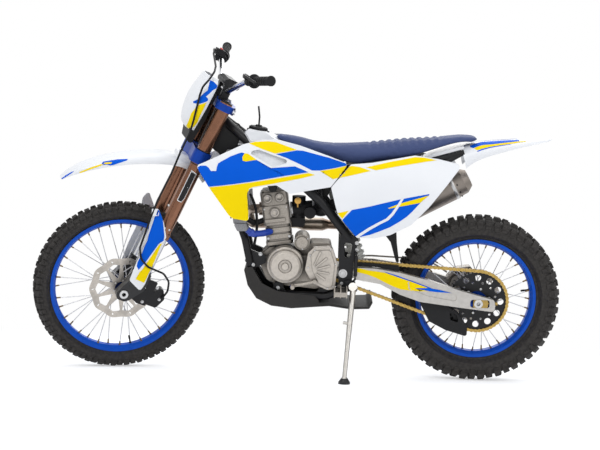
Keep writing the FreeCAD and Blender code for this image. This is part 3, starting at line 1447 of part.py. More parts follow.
def build_front():
    build_outer_tubes()
    build_inner_tubes()
    build_clamps()
    node("handlebar", once(handlebar_shape), "fork")
    node("bar_mounts", bar_mounts(), "fork")
    node("grips", grips(), "fork")
    node("hand_controls", hand_controls(), "fork")
    node("number_plate", once(number_plate_shape), "fork")
    node("headlight_box", headlight_box(), "fork")
    node("front_fender", front_fender_shape(), "fork")
    node("fork_guards", once(fork_guards), "fork")
    node("front_caliper", caliper_shape(), "fork")
    node("front_brake_hose", hose_tube(4), "fork")
    build_axle("front_axle", "fork", "front_axle_half", FreeCAD.Placement(V(AXLE_A, 0, AXLE_B),
                                                                          FreeCAD.Rotation()))


# Rest pose: both tyres and the stand foot on the ground
def lowest_point(label, place):
    tyre = next(thing for thing, frame in NODES if thing.Label == label)
    return min(place.multVec(vertex.Point).z for vertex in tyre.Shape.Vertexes)


def wheel_places(lean):
    fork = lean.multiply(FORK_FRAME).multiply(STEERED)
    level = FreeCAD.Placement(V(AXLE_A, 0, AXLE_B), FreeCAD.Rotation(V(0, 1, 0), -size("rake")))
    rear = lean.multiply(FreeCAD.Placement(REAR_AXLE, FreeCAD.Rotation()))
    return {"bike": lean, "fork": fork, "front_wheel": fork.multiply(level), "rear_wheel": rear}


def rest_placements():
    lean = FreeCAD.Placement(V(0, 0, 0), FreeCAD.Rotation(V(1, 0, 0), size("lean")))
    for turn in range(3):
        places = wheel_places(lean)
        front_low = lowest_point("front_tyre", places["front_wheel"])
        rear_low = lowest_point("rear_tyre", places["rear_wheel"])
        reach = places["rear_wheel"].Base.x - places["front_wheel"].Base.x
        level = FreeCAD.Rotation(V(0, 1, 0), -math.degrees(math.atan2(front_low - rear_low, reach)))
        lean = FreeCAD.Placement(V(0, 0, 0), level).multiply(lean)
        low = lowest_point("front_tyre", wheel_places(lean)["front_wheel"])
        lean = FreeCAD.Placement(V(0, 0, -low), FreeCAD.Rotation()).multiply(lean)
    return wheel_places(lean)


def place_nodes(places):
    box = FreeCAD.BoundBox()
    for thing, frame in NODES:
        shape = thing.Shape.copy()
        shape.Placement = places[frame].multiply(shape.Placement)
        box.add(shape.optimalBoundingBox(False))
    shift = FreeCAD.Placement(V(-box.Center.x, -box.Center.y, -box.ZMin), FreeCAD.Rotation())
    for frame in places:
        places[frame] = shift.multiply(places[frame])
    for thing, frame in NODES:
        thing.Placement = places[frame].multiply(thing.Placement)
    return box


def check_and_export():
    os.makedirs("parts", exist_ok=True)
    bad = []
    for thing in DOC.Objects:
        if "Invalid" in thing.State or "Error" in thing.State:
            bad.append(thing.Name)
    for thing, frame in NODES:
        if thing.Shape.isNull() or not thing.Shape.isValid():
            bad.append(thing.Label)
        else:
            thing.Shape.exportStep("parts/%s.step" % thing.Label)
    if bad:
        raise RuntimeError("bad shapes: " + ", ".join(bad))


build_wheels()
PLACES = rest_placements()
build_bike(PLACES)
build_front()
DOC.recompute()
STAND_TOP, STAND_FOOT, DOWN = stand_points(PLACES)
OVERALL = place_nodes(PLACES)
DOC.recompute()
check_and_export()
print("overall", round(OVERALL.XLength, 1), round(OVERALL.YLength, 1), round(OVERALL.ZLength, 1))
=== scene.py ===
import bpy
import bmesh
import json
import math
from collections import namedtuple
from mathutils import Matrix, Vector
from mathutils.bvhtree import BVHTree


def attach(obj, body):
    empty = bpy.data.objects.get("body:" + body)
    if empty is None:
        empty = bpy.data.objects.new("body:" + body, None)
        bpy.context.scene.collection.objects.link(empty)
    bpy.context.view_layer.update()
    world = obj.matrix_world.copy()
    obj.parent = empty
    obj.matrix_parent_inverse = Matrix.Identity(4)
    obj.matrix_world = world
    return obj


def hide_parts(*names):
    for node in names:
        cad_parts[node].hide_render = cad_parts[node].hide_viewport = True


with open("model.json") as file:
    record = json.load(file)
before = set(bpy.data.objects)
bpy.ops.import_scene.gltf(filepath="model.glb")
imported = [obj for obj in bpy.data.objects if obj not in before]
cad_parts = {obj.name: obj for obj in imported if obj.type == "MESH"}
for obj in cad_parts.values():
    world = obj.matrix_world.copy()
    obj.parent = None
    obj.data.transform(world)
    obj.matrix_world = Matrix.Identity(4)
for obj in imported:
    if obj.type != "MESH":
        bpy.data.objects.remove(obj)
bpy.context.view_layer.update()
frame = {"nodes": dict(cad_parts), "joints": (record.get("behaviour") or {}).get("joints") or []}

NODES = frame["nodes"]
JOINTS = {joint["name"]: joint for joint in frame["joints"]}

# Sizes of the bike as in the CAD, in mm and radians
RAKE = math.radians(24.5)
LEAN = math.radians(8)
REAR_AXLE_X, REAR_AXLE_Z = 720, 338
SWINGARM_X, SWINGARM_Z = 180, 440
SPROCKET_Z = 456
CHAIN_Y = -72
CHAIN_PITCH, CHAIN_LINKS = 15.875, 110
REAR_TEETH, FRONT_TEETH = 48, 13
LEG_A, LEG_Y = -22, 100
LEG_DARK_BELOW = -546
FOOT_TOP = 22

# The photograph's camera, solved on both wheels: yaw, pitch and roll in degrees, place in metres on the upright bike
CAMERA_ANGLES = (-0.509, -1.024, 1.910)
CAMERA_PLACE = (0.0514, -5.512, 0.7007)
FOCAL_PIXELS, PHOTO_WIDTH, SENSOR_WIDTH = 1348.5, 600, 36


# Frames of the upright bike and of the fork, found from the joints
def bike_frame():
    across = Vector(JOINTS["rear_wheel_spin"]["axis"]).normalized()
    steer = Vector(JOINTS["steering"]["axis"]).normalized()
    ahead = across.cross(steer)
    along = math.sin(RAKE) * steer + math.cos(RAKE) * ahead
    up = math.cos(RAKE) * steer - math.sin(RAKE) * ahead
    axle = Vector(JOINTS["rear_wheel_spin"]["pos_m"])
    origin = axle - along * (REAR_AXLE_X / 1000) - up * (REAR_AXLE_Z / 1000)
    return Matrix.Translation(origin) @ Matrix((along, across, up)).transposed().to_4x4()


def fork_frame():
    across = Vector(JOINTS["front_wheel_spin"]["axis"]).normalized()
    steer = Vector(JOINTS["steering"]["axis"]).normalized()
    origin = Vector(JOINTS["steering"]["pos_m"])
    return Matrix.Translation(origin) @ Matrix((across.cross(steer), across, steer)).transposed().to_4x4()


BIKE = bike_frame()
FORK = fork_frame()


def place_camera():
    yaw, pitch, roll = (math.radians(angle) for angle in CAMERA_ANGLES)
    ahead = Vector((math.sin(yaw) * math.cos(pitch), math.cos(yaw) * math.cos(pitch), math.sin(pitch)))
    right = Vector((math.cos(yaw), -math.sin(yaw), 0))
    up = right.cross(ahead)
    right_rolled = math.cos(roll) * right + math.sin(roll) * up
    up_rolled = -math.sin(roll) * right + math.cos(roll) * up
    pose = Matrix((right_rolled, up_rolled, -ahead)).transposed().to_4x4()
    pose.translation = Vector(CAMERA_PLACE)
    data = bpy.data.cameras.new("photo_camera")
    data.sensor_width = SENSOR_WIDTH
    data.lens = FOCAL_PIXELS * SENSOR_WIDTH / PHOTO_WIDTH
    camera = bpy.data.objects.new("photo_camera", data)
    bpy.context.collection.objects.link(camera)
    camera.matrix_world = BIKE @ Matrix.Rotation(-LEAN, 4, "X") @ pose
    bpy.context.scene.camera = camera
    bpy.context.scene.view_settings.view_transform = "Standard"


place_camera()

# Sockets of a Mix node that mixes colours, which share their names with its other sockets
MIX_A, MIX_B, MIX_RESULT = 6, 7, 2


def add_node(tree, kind, inputs=None, **settings):
    made = tree.nodes.new("ShaderNode" + kind)
    for name, value in settings.items():
        setattr(made, name, value)
    for name, value in (inputs or {}).items():
        made.inputs[name].default_value = value
    return made


# Procedural materials
def surface(name, colour, rough=0.4, metal=0.0, coat=0.0, grain=60.0, vary=0.12, bump=0.0, second=None, shine=0.4,
            painted_corner_shade=0.0):
    """A colour that varies with a noise, with an optional relief and optional painted shade that darkens the colour in
    corners and crevices.
    """
    material = bpy.data.materials.new(name)
    material.use_nodes = True
    tree = material.node_tree
    link = tree.links.new
    shader = tree.nodes["Principled BSDF"]
    place = add_node(tree, "TexCoord")
    noise = add_node(tree, "TexNoise", {"Scale": grain, "Detail": 4})
    link(place.outputs["Object"], noise.inputs["Vector"])
    ramp = add_node(tree, "ValToRGB")
    low, high = ramp.color_ramp.elements
    low.position, high.position = 0.35, 0.65
    low.color = (*(second or [part * (1 - vary) for part in colour]), 1)
    high.color = (*colour, 1)
    link(noise.outputs["Fac"], ramp.inputs["Fac"])
    link(ramp.outputs["Color"], shader.inputs["Base Color"])
    spread = add_node(tree, "MapRange", {"To Min": max(0.02, rough - 0.08), "To Max": min(1, rough + 0.08)})
    link(noise.outputs["Fac"], spread.inputs["Value"])
    link(spread.outputs["Result"], shader.inputs["Roughness"])
    shader.inputs["Metallic"].default_value = metal
    shader.inputs["Specular IOR Level"].default_value = shine
    shader.inputs["Coat Weight"].default_value = coat
    shader.inputs["Coat Roughness"].default_value = 0.12
    if painted_corner_shade:
        # Painted shade: an ambient occlusion mask mixes the colour towards near black in corners and crevices
        corner = add_node(tree, "AmbientOcclusion", {"Distance": 0.03})
        depth = add_node(tree, "MapRange", {"From Min": 0.35, "From Max": 0.95, "To Min": 1 - painted_corner_shade})
        painted_shade_mix = add_node(tree, "Mix", {MIX_A: (0.012, 0.011, 0.01, 1)}, data_type="RGBA")
        link(corner.outputs["AO"], depth.inputs["Value"])
        link(depth.outputs["Result"], painted_shade_mix.inputs["Factor"])
        link(ramp.outputs["Color"], painted_shade_mix.inputs[MIX_B])
        link(painted_shade_mix.outputs[MIX_RESULT], shader.inputs["Base Color"])
    if bump:
        relief = add_node(tree, "Bump", {"Strength": bump, "Distance": 0.001})
        link(noise.outputs["Fac"], relief.inputs["Height"])
        link(relief.outputs["Normal"], shader.inputs["Normal"])
    return material


def two_part(name, upper, lower, matrix, level):
    """A bright metal upper part and a dark lower part, split square to the matrix's Z axis at a level in mm."""
    metal = 0.95
    material = surface(name, upper, 0.3, metal=metal, grain=60, vary=0.1)
    tree = material.node_tree
    link = tree.links.new
    shader = tree.nodes["Principled BSDF"]
    place = add_node(tree, "TexCoord")
    axis = matrix.to_3x3() @ Vector((0, 0, 1))
    height = add_node(tree, "VectorMath", {1: axis}, operation="DOT_PRODUCT")
    above = add_node(tree, "Math", {1: matrix.translation.dot(axis) + level / 1000}, operation="GREATER_THAN")
    tone = add_node(tree, "Mix", {MIX_A: (*lower, 1)}, data_type="RGBA")
    shine = add_node(tree, "Math", {1: metal}, operation="MULTIPLY")
    bright = shader.inputs["Base Color"].links[0].from_socket
    link(place.outputs["Object"], height.inputs[0])
    link(height.outputs["Value"], above.inputs[0])
    link(above.outputs["Value"], tone.inputs["Factor"])
    link(bright, tone.inputs[MIX_B])
    link(tone.outputs[MIX_RESULT], shader.inputs["Base Color"])
    link(above.outputs["Value"], shine.inputs[0])
    link(shine.outputs["Value"], shader.inputs["Metallic"])
    return material


WHITE = surface("white_plastic", (0.84, 0.85, 0.86), 0.36, coat=0.2, grain=8, vary=0.03)
BLUE = surface("blue_graphics", (0.0, 0.105, 0.66), 0.5, grain=10, vary=0.06, shine=0.08)
YELLOW = surface("yellow_graphics", (0.97, 0.72, 0.0), 0.5, grain=10, vary=0.04, shine=0.08)
NAVY = surface("navy_vinyl", (0.05, 0.075, 0.19), 0.62, grain=900, vary=0.3, bump=0.35, shine=0.3)
TYRE = surface("tyre_rubber", (0.036, 0.032, 0.029), 0.7, grain=90, vary=0.6, bump=0.4, shine=0.35)
RUBBER = surface("soft_rubber", (0.009, 0.009, 0.01), 0.6, grain=220, vary=0.3, shine=0.25)
BLACK = surface("black_paint", (0.008, 0.008, 0.009), 0.42, coat=0.06, grain=40, vary=0.2, shine=0.25)
BLACK_PLASTIC = surface("black_plastic", (0.01, 0.01, 0.011), 0.55, grain=300, vary=0.25, bump=0.1, shine=0.25)
RIM_BLUE = surface("rim_blue", (0.002, 0.08, 0.52), 0.4, metal=0.2, grain=30, vary=0.12, shine=0.2)
CLAMP_BLUE = surface("clamp_blue", (0.002, 0.05, 0.36), 0.36, metal=0.45, grain=60, vary=0.2, shine=0.3)
SPOKE = surface("spoke_steel", (0.62, 0.62, 0.63), 0.3, metal=0.9, grain=80, vary=0.1)
STEEL = surface("bright_steel", (0.6, 0.6, 0.6), 0.34, metal=0.95, grain=90, vary=0.2)
DISC = surface("disc_steel", (0.52, 0.48, 0.43), 0.38, metal=0.9, grain=30, vary=0.25)
# The cast alloy and the cover alloy carry painted shade in their corners and crevices
ALLOY = surface("cast_alloy", (0.43, 0.39, 0.34), 0.45, metal=0.6, grain=220, vary=0.25, bump=0.2, painted_corner_shade=0.85)
ALLOY_LIGHT = surface("cover_alloy", (0.53, 0.485, 0.43), 0.38, metal=0.65, grain=90, vary=0.14, painted_corner_shade=0.8)
ARM = surface("arm_alloy", (0.5, 0.48, 0.45), 0.4, metal=0.75, grain=60, vary=0.12)
TITANIUM = surface("grey_titanium", (0.3, 0.265, 0.235), 0.4, metal=0.85, grain=22, vary=0.2)
HEADER = surface("header_steel", (0.5, 0.45, 0.38), 0.32, metal=0.95, grain=14, vary=0.3, second=(0.3, 0.22, 0.17))
BRONZE = surface("bronze_anodised", (0.24, 0.115, 0.07), 0.24, metal=0.9, grain=50, vary=0.15)
SLIDER = surface("slider_chrome", (0.75, 0.76, 0.78), 0.14, metal=1.0, grain=40, vary=0.05)
GOLD = surface("chain_gold", (0.62, 0.42, 0.12), 0.34, metal=0.85, grain=400, vary=0.5)
ADJUSTER = surface("adjuster_bronze", (0.4, 0.27, 0.08), 0.34, metal=0.8, grain=60, vary=0.15)
GREY_TANK = surface("tank_plastic", (0.78, 0.79, 0.8), 0.5, grain=20, vary=0.05)
SHOCK = surface("shock_white", (0.75, 0.75, 0.7), 0.4, grain=60, vary=0.1)
RED = surface("red_part", (0.5, 0.02, 0.02), 0.35, grain=60, vary=0.1)
NIPPLE = surface("nipple_bronze", (0.2, 0.13, 0.06), 0.35, metal=0.8, grain=90, vary=0.2)
BRASS = surface("brass", (0.62, 0.36, 0.1), 0.3, metal=0.9, grain=60, vary=0.15)
BLUE_HOSE = surface("blue_hose", (0.015, 0.06, 0.42), 0.35, coat=0.2, grain=30, vary=0.15)
LEG = two_part("fork_leg", (0.7, 0.71, 0.72), (0.012, 0.012, 0.013), FORK, LEG_DARK_BELOW)
STAND = two_part("stand_alloy", (0.52, 0.5, 0.47), (0.012, 0.012, 0.013), Matrix(), FOOT_TOP)
SKID = surface("skid_plastic", (0.03, 0.028, 0.026), 0.6, grain=260, vary=0.25, bump=0.1, shine=0.25)
HUB_NAVY = surface("hub_navy", (0.004, 0.012, 0.06), 0.36, metal=0.4, grain=60, vary=0.2)
# The radiator core carries painted shade in its corners and crevices
CORE = surface("radiator_core", (0.3, 0.3, 0.31), 0.5, metal=0.6, grain=500, vary=0.4, painted_corner_shade=0.8)

FINISH = {
    WHITE: ["radiator_shrouds", "side_panels", "rear_fender", "front_fender", "number_plate", "fork_guards"],
    GREY_TANK: ["fuel_tank"],
    NAVY: ["seat"],
    TYRE: ["front_tyre", "rear_tyre"],
    RIM_BLUE: ["front_rim", "rear_rim"],
    SPOKE: ["front_spokes", "rear_spokes"],
    BLACK: ["frame", "subframe", "stand_bracket", "bar_mounts", "rear_sprocket", "front_sprocket", "front_caliper"],
    HUB_NAVY: ["front_hub"],
    SKID: ["skid_plate"],
    STAND: ["side_stand"],
    CLAMP_BLUE: ["lower_clamp", "upper_clamp", "rear_hub"],
    DISC: ["front_disc", "rear_disc"],
    ALLOY: ["crankcase", "cylinder", "foot_controls", "rear_caliper", "footpegs"],
    ALLOY_LIGHT: ["engine_covers"],
    ARM: ["swingarm"],
    TITANIUM: ["silencer"],
    HEADER: ["exhaust_pipe"],
    BRONZE: ["fork_outer_tubes"],
    SLIDER: ["handlebar"],
    STEEL: ["front_axle", "rear_axle"],
    LEG: ["fork_inner_tubes"],
    GOLD: ["chain"],
    ADJUSTER: ["chain_adjusters"],
    SHOCK: ["shock_absorber"],
    CORE: ["radiators"],
    RUBBER: ["grips", "front_brake_hose", "filler_cap"],
    BLUE_HOSE: ["coolant_hoses"],
    BLACK_PLASTIC: ["inner_fender", "chain_guides", "headlight_box", "hand_controls", "intake"],
}


def dress(thing, material):
    thing.data.materials.clear()
    thing.data.materials.append(material)


for material, names in FINISH.items():
    for name in names:
        dress(NODES[name], material)

TREES = {}


def skin_tree(target, matrix):
    """The surface of a CAD piece in the frame of the matrix, for casting rays on it."""
    key = (target, tuple(map(tuple, matrix)))
    if key not in TREES:
        mesh = NODES[target].data
        back = matrix.inverted()
        points = [back @ vertex.co for vertex in mesh.vertices]
        TREES[key] = BVHTree.FromPolygons(points, [tuple(face.vertices) for face in mesh.polygons])
    return TREES[key]


# Coloured graphics laid on the panels, as thin skins cast onto the CAD surface
SIDE_REACH, TOP_REACH = 0.3, 1.4
COARSE, FINE = 0.011, 0.006
FURTHEST_PULL = 0.03


def cut_outline(outline, step):
    mesh = bmesh.new()
    mesh.faces.new([mesh.verts.new((x / 1000, 0, z / 1000)) for x, z in outline])
    bmesh.ops.triangulate(mesh, faces=mesh.faces[:])
    for halving in range(7):
        long_edges = [edge for edge in mesh.edges if edge.calc_length() > step]
        if not long_edges:
            break
        bmesh.ops.subdivide_edges(mesh, edges=long_edges, cuts=1)
        bmesh.ops.triangulate(mesh, faces=[face for face in mesh.faces if len(face.verts) > 3])
    return mesh


def laid_graphic(name, target, outline, material, frame_matrix, body, side, reach, lift, step):
    """An outline cast along the frame's Y axis onto the target. Points that miss go to the target's nearest edge."""
    tree = skin_tree(target, frame_matrix)
    mesh = cut_outline(outline, step)
    lost, hits = [], []
    for vertex in mesh.verts:
        start = Vector((vertex.co.x, side * reach, vertex.co.z))
        hit = tree.ray_cast(start, Vector((0, -side, 0)), reach)[0]
        if hit is None:
            lost.append(vertex)
            continue
        hits.append(hit)
        vertex.co = Vector((hit.x, hit.y + side * lift, hit.z))
    gone = []
    for vertex in lost:
        near = min(hits, key=lambda hit: (hit.x - vertex.co.x) ** 2 + (hit.z - vertex.co.z) ** 2, default=None)
        edge = near and tree.find_nearest(Vector((vertex.co.x, near.y + side * 0.001, vertex.co.z)))[0]
        if edge is None or math.hypot(edge.x - vertex.co.x, edge.z - vertex.co.z) > FURTHEST_PULL:
            gone.append(vertex)
            continue
        vertex.co = Vector((edge.x, near.y + side * lift, edge.z))
    bmesh.ops.delete(mesh, geom=gone, context="VERTS")
    data = bpy.data.meshes.new(name)
    mesh.to_mesh(data)
    mesh.free()
    data.transform(frame_matrix)
    thing = bpy.data.objects.new(name, data)
    bpy.context.collection.objects.link(thing)
    for face in data.polygons:
        face.use_smooth = True
    dress(thing, material)
    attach(thing, body)


def on_sides(matrix, body, rows):
    for name, target, material, lift, step, outline in rows:
        for word, side in (("_left", -1), ("_right", 1)):
            laid_graphic(name + word, target, outline, material, matrix, body, side, SIDE_REACH, lift, step)


def on_top(matrix, body, rows):
    upright = matrix @ Matrix.Rotation(math.radians(90), 4, "X")
    for name, target, material, lift, step, outline in rows:
        for word, side in (("_left", 1), ("_right", -1)):
            mirrored = [(x, side * across) for x, across in outline]
            laid_graphic(name + word, target, mirrored, material, upright, body, 1, TOP_REACH, lift, step)


# Each row: name, piece that carries it, colour, height above the piece in metres, mesh step, outline in mm
on_sides(BIKE, "chassis", [
    ("shroud_blue", "radiator_shrouds", BLUE, 0.0007, COARSE, [
        (-396, 853), (-387, 860), (-364, 861), (-354, 854), (-344, 841), (-332, 836), (-324, 842), (-322, 857),
        (-318, 870), (-307, 878), (-270, 899), (-239, 911), (-228, 914), (-218, 911), (-226, 897), (-224, 883),
        (-211, 880), (-171, 887), (-146, 874), (-118, 857), (-22, 865), (31, 843), (-59, 828), (-193, 803),
        (-270, 791), (-352, 780), (-374, 809), (-394, 842)]),
    ("shroud_spot", "radiator_shrouds", YELLOW, 0.0011, COARSE, [
        (-218, 911), (-205, 910), (-171, 888), (-211, 881), (-224, 883), (-226, 897)]),
    ("shroud_yellow", "radiator_shrouds", YELLOW, 0.0007, COARSE, [
        (-350, 778), (-270, 788), (-193, 800), (-117, 813), (-2, 834), (31, 840), (57, 833), (-1, 818), (-116, 795),
        (-181, 783), (-196, 776), (-203, 763), (-203, 732), (-200, 672), (-196, 648), (-217, 648), (-264, 655),
        (-275, 666), (-312, 716), (-336, 750)]),
    ("upper_yellow", "radiator_shrouds", YELLOW, 0.0007, COARSE, [
        (-203, 948), (-180, 954), (-130, 957), (-99, 954), (-17, 927), (-44, 922), (-101, 912), (-152, 928)]),
    ("upper_blue", "radiator_shrouds", BLUE, 0.0007, COARSE, [
        (-97, 910), (-17, 925), (7, 924), (113, 898), (192, 873), (134, 860), (75, 850), (44, 850), (-3, 873),
        (-58, 897)]),
    ("joint_yellow", "radiator_shrouds", YELLOW, 0.0007, COARSE, [
        (76, 848), (134, 858), (192, 872), (231, 867), (274, 854), (201, 835), (127, 817), (115, 827)]),
    ("joint_end", "side_panels", YELLOW, 0.0007, COARSE, [
        (76, 845), (134, 857), (192, 870), (231, 866), (274, 853), (201, 834), (127, 816), (115, 826)]),
    ("panel_yellow", "side_panels", YELLOW, 0.0007, COARSE, [
        (255, 866), (348, 889), (446, 909), (482, 908), (533, 899), (486, 892), (387, 875), (294, 856)]),
    ("panel_spot", "side_panels", YELLOW, 0.0007, COARSE, [(150, 686), (192, 697), (169, 665), (160, 673)]),
    ("panel_blue", "side_panels", BLUE, 0.0007, COARSE, [
        (169, 660), (205, 701), (275, 717), (333, 733), (391, 748), (449, 760), (506, 771), (504, 766), (470, 735),
        (443, 704), (421, 682), (394, 662), (356, 638), (318, 621), (279, 605), (241, 595), (221, 593), (193, 625)]),
    ("panel_streak", "side_panels", YELLOW, 0.0012, COARSE, [
        (503, 765), (470, 736), (396, 721), (349, 711), (345, 713), (391, 732)]),
    ("panel_line", "side_panels", WHITE, 0.0016, COARSE, [
        (396, 752), (376, 718), (358, 692), (339, 672), (308, 655), (270, 632), (236, 607), (223, 596), (235, 593),
        (275, 622), (313, 646), (349, 666), (368, 687), (386, 716), (406, 752)]),
    ("arm_yellow", "swingarm", YELLOW, 0.0007, COARSE, [
        (231, 465), (247, 464), (282, 457), (317, 454), (353, 449), (393, 436), (442, 421), (486, 406), (522, 396),
        (469, 392), (523, 382), (487, 380), (447, 383), (412, 386), (381, 396), (350, 410), (310, 429), (274, 441),
        (231, 450)]),
    ("arm_blue", "swingarm", BLUE, 0.0011, COARSE, [
        (465, 392), (522, 395), (557, 390), (614, 378), (558, 379), (523, 382)]),
    ("arm_edge", "swingarm", BLUE, 0.0011, COARSE, [
        (342, 455), (394, 441), (446, 424), (502, 405), (534, 394), (518, 395), (486, 406), (442, 421), (393, 436),
        (353, 449)]),
])
# On the tail the outline's second number is the distance from the middle
on_top(BIKE, "chassis", [
    ("tail_blue", "rear_fender", BLUE, 0.0008, FINE, [
        (664, 44), (690, 30), (712, 15), (760, 15), (831, 15), (859, 15), (858, 46), (820, 51), (755, 57), (712, 55),
        (692, 59), (677, 62), (664, 53)]),
    ("tail_yellow", "rear_fender", YELLOW, 0.0012, FINE, [
        (678, 65), (692, 60), (712, 57), (755, 59), (827, 55), (881, 51), (882, 58), (826, 65), (754, 69), (705, 72),
        (691, 73)]),
    ("tail_line", "rear_fender", BLUE, 0.0012, FINE, [
        (689, 75), (705, 73), (754, 70), (818, 67), (825, 68), (754, 73), (708, 76), (692, 77)]),
])
on_sides(FORK, "steering", [
    ("guard_blue", "fork_guards", BLUE, 0.0007, COARSE, [
        (-95, -287), (-75, -295), (-47, -341), (-24, -380), (-18, -398), (-28, -413), (-34, -426), (-41, -449),
        (-43, -481), (-46, -503), (-53, -526), (-58, -546), (-71, -535), (-75, -519), (-74, -489), (-79, -426),
        (-80, -387), (-85, -356), (-83, -321)]),
    ("guard_yellow", "fork_guards", YELLOW, 0.0009, COARSE, [
        (-26, -415), (-12, -409), (-15, -434), (-15, -479), (-16, -514), (-14, -563), (-15, -586), (-53, -585),
        (-51, -552), (-36, -518), (-34, -482), (-32, -445)]),
    ("mask_blue", "number_plate", BLUE, 0.0009, FINE, [
        (-115, 248), (-100, 248), (-82, 241), (-80, 231), (-92, 219), (-101, 199), (-108, 185), (-97, 181),
        (-94, 174), (-102, 164), (-118, 149), (-137, 139), (-139, 145), (-126, 168), (-123, 183), (-115, 202),
        (-105, 219), (-102, 231), (-115, 240)]),
    ("mask_yellow", "number_plate", YELLOW, 0.0009, FINE, [
        (-117, 146), (-96, 165), (-97, 145), (-97, 118), (-94, 97), (-91, 80), (-94, 54), (-109, 34), (-114, 34),
        (-121, 62), (-128, 99), (-124, 131)]),
    ("fender_blue", "front_fender", BLUE, 0.0008, FINE, [
        (-354, -218), (-331, -202), (-305, -185), (-272, -168), (-273, -174), (-294, -193), (-315, -213),
        (-325, -219), (-337, -221), (-353, -230), (-357, -230), (-345, -219)]),
    ("fender_spot", "front_fender", YELLOW, 0.0013, FINE, [
        (-351, -221), (-337, -211), (-323, -204), (-324, -211), (-344, -222)]),
    ("fender_yellow", "front_fender", YELLOW, 0.0012, FINE, [
        (-348, -224), (-361, -231), (-390, -259), (-420, -294), (-415, -296), (-385, -263), (-356, -234)]),
    ("fender_tip", "front_fender", BLUE, 0.0009, FINE, [
        (-468, -350), (-458, -328), (-446, -309), (-438, -299), (-440, -305), (-453, -329), (-464, -349)]),
    ("leg_label_edge", "fork_outer_tubes", WHITE, 0.0007, COARSE, [
        (-38, -98), (-14, -104), (-14, -212), (-20, -232), (-38, -232)]),
    ("leg_label", "fork_outer_tubes", BLACK, 0.0011, COARSE, [
        (-36, -101), (-16, -107), (-16, -211), (-21, -229), (-36, -229)]),
])


# Pieces made of many small parts
def link_piece(name, verts, faces, material, frame_matrix, body, smooth=False):
    data = bpy.data.meshes.new(name)
    data.from_pydata([Vector(p) / 1000 for p in verts], [], faces)
    mesh = bmesh.new()
    mesh.from_mesh(data)
    bmesh.ops.recalc_face_normals(mesh, faces=mesh.faces[:])
    mesh.to_mesh(data)
    mesh.free()
    data.transform(frame_matrix)
    thing = bpy.data.objects.new(name, data)
    bpy.context.collection.objects.link(thing)
    if smooth:
        data.shade_smooth()
    dress(thing, material)
    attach(thing, body)
    return thing


def add_rings(verts, faces, rings, closed=False):
    """Faces between rings of as many points each, with end caps, or closed into a loop."""
    start = len(verts)
    count = len(rings[0])
    for ring in rings:
        verts.extend(ring)
    spans = len(rings) if closed else len(rings) - 1
    for i in range(spans):
        here = start + i * count
        after = start + ((i + 1) % len(rings)) * count
        for k in range(count):
            beside = (k + 1) % count
            faces.append((here + k, here + beside, after + beside, after + k))
    if not closed:
        last = start + (len(rings) - 1) * count
        faces.append(tuple(range(start, start + count)))
        faces.append(tuple(range(last, last + count)))


def add_turned(verts, faces, place, axis, steps, sides=12):
    """A turned shape on an axis. Each step is a radius and a distance along the axis."""
    axis = Vector(axis).normalized()
    other = Vector((0, 0, 1)) if abs(axis.z) < 0.9 else Vector((1, 0, 0))
    one = axis.cross(other).normalized()
    two = axis.cross(one)
    rings = []
    for out, along in steps:
        ring = []
        for k in range(sides):
            angle = 2 * math.pi * k / sides
            ring.append(Vector(place) + axis * along + (one * math.cos(angle) + two * math.sin(angle)) * out)
        rings.append(ring)
    add_rings(verts, faces, rings)


def turned_piece(name, material, matrix, body, shapes, smooth=False):
    """A piece of turned shapes, each with its place, axis, steps and number of sides."""
    verts, faces = [], []
    for place, axis, steps, sides in shapes:
        add_turned(verts, faces, place, axis, steps, sides)
    return link_piece(name, verts, faces, material, matrix, body, smooth)


def fasteners(name, material, frame_matrix, body, spots, kind="hex"):
    """Hexagon bolts on washers or round socket screws. Each spot is a place, an axis and a radius."""
    verts, faces = [], []
    for place, axis, radius in spots:
        if kind == "hex":
            add_turned(verts, faces, place, axis, [(radius * 1.3, -1.5), (radius * 1.3, 0.8)], 16)
            add_turned(verts, faces, place, axis, [(radius, 0.6), (radius, radius * 0.8), (radius * 0.82, radius)], 6)
        else:
            steps = [(radius, -1.5), (radius, radius * 0.3), (radius * 0.8, radius * 0.62),
                     (radius * 0.5, radius * 0.7), (radius * 0.44, radius * 0.3)]
            add_turned(verts, faces, place, axis, steps, 16)
    link_piece(name, verts, faces, material, frame_matrix, body)


def skin_points(target, matrix, places, side=-1):
    """Points of the target's skin in mm, seen along Y from one side."""
    reach = 0.42
    points = []
    for x, z in places:
        start = Vector((x / 1000, side * reach, z / 1000))
        points.append(skin_tree(target, matrix).ray_cast(start, Vector((0, -side, 0)), reach)[0] * 1000)
    return points


# Wheels, with sizes in mm: tyre radius and half width, rim flange radius and half width, lug height, pairs of lug
# rows round the tyre, and where the spokes leave the hub
Wheel = namedtuple("Wheel", "matrix tip half flange rim_half lug rows hub_out hub_y")
FRONT_WHEEL = FORK @ Matrix.Rotation(-RAKE, 4, "Y")
FRONT_WHEEL.translation = Vector(JOINTS["front_wheel_spin"]["pos_m"])
REAR_WHEEL = BIKE.copy()
REAR_WHEEL.translation = Vector(JOINTS["rear_wheel_spin"]["pos_m"])
WHEELS = {
    "front": Wheel(FRONT_WHEEL, tip=346, half=43, flange=280, rim_half=25, lug=12, rows=39, hub_out=34.4, hub_y=35.5),
    "rear": Wheel(REAR_WHEEL, tip=338, half=60, flange=242, rim_half=33, lug=17, rows=28, hub_out=44.4, hub_y=43),
}
TYRE_SPANS = 168
RIM_DEPTH = 22.1
SPOKE_GROUPS = 9
SPOKE_SPLAY = math.radians(42)


def around_wheel(across, out, angle):
    return Vector((out * math.sin(angle), across, -out * math.cos(angle)))


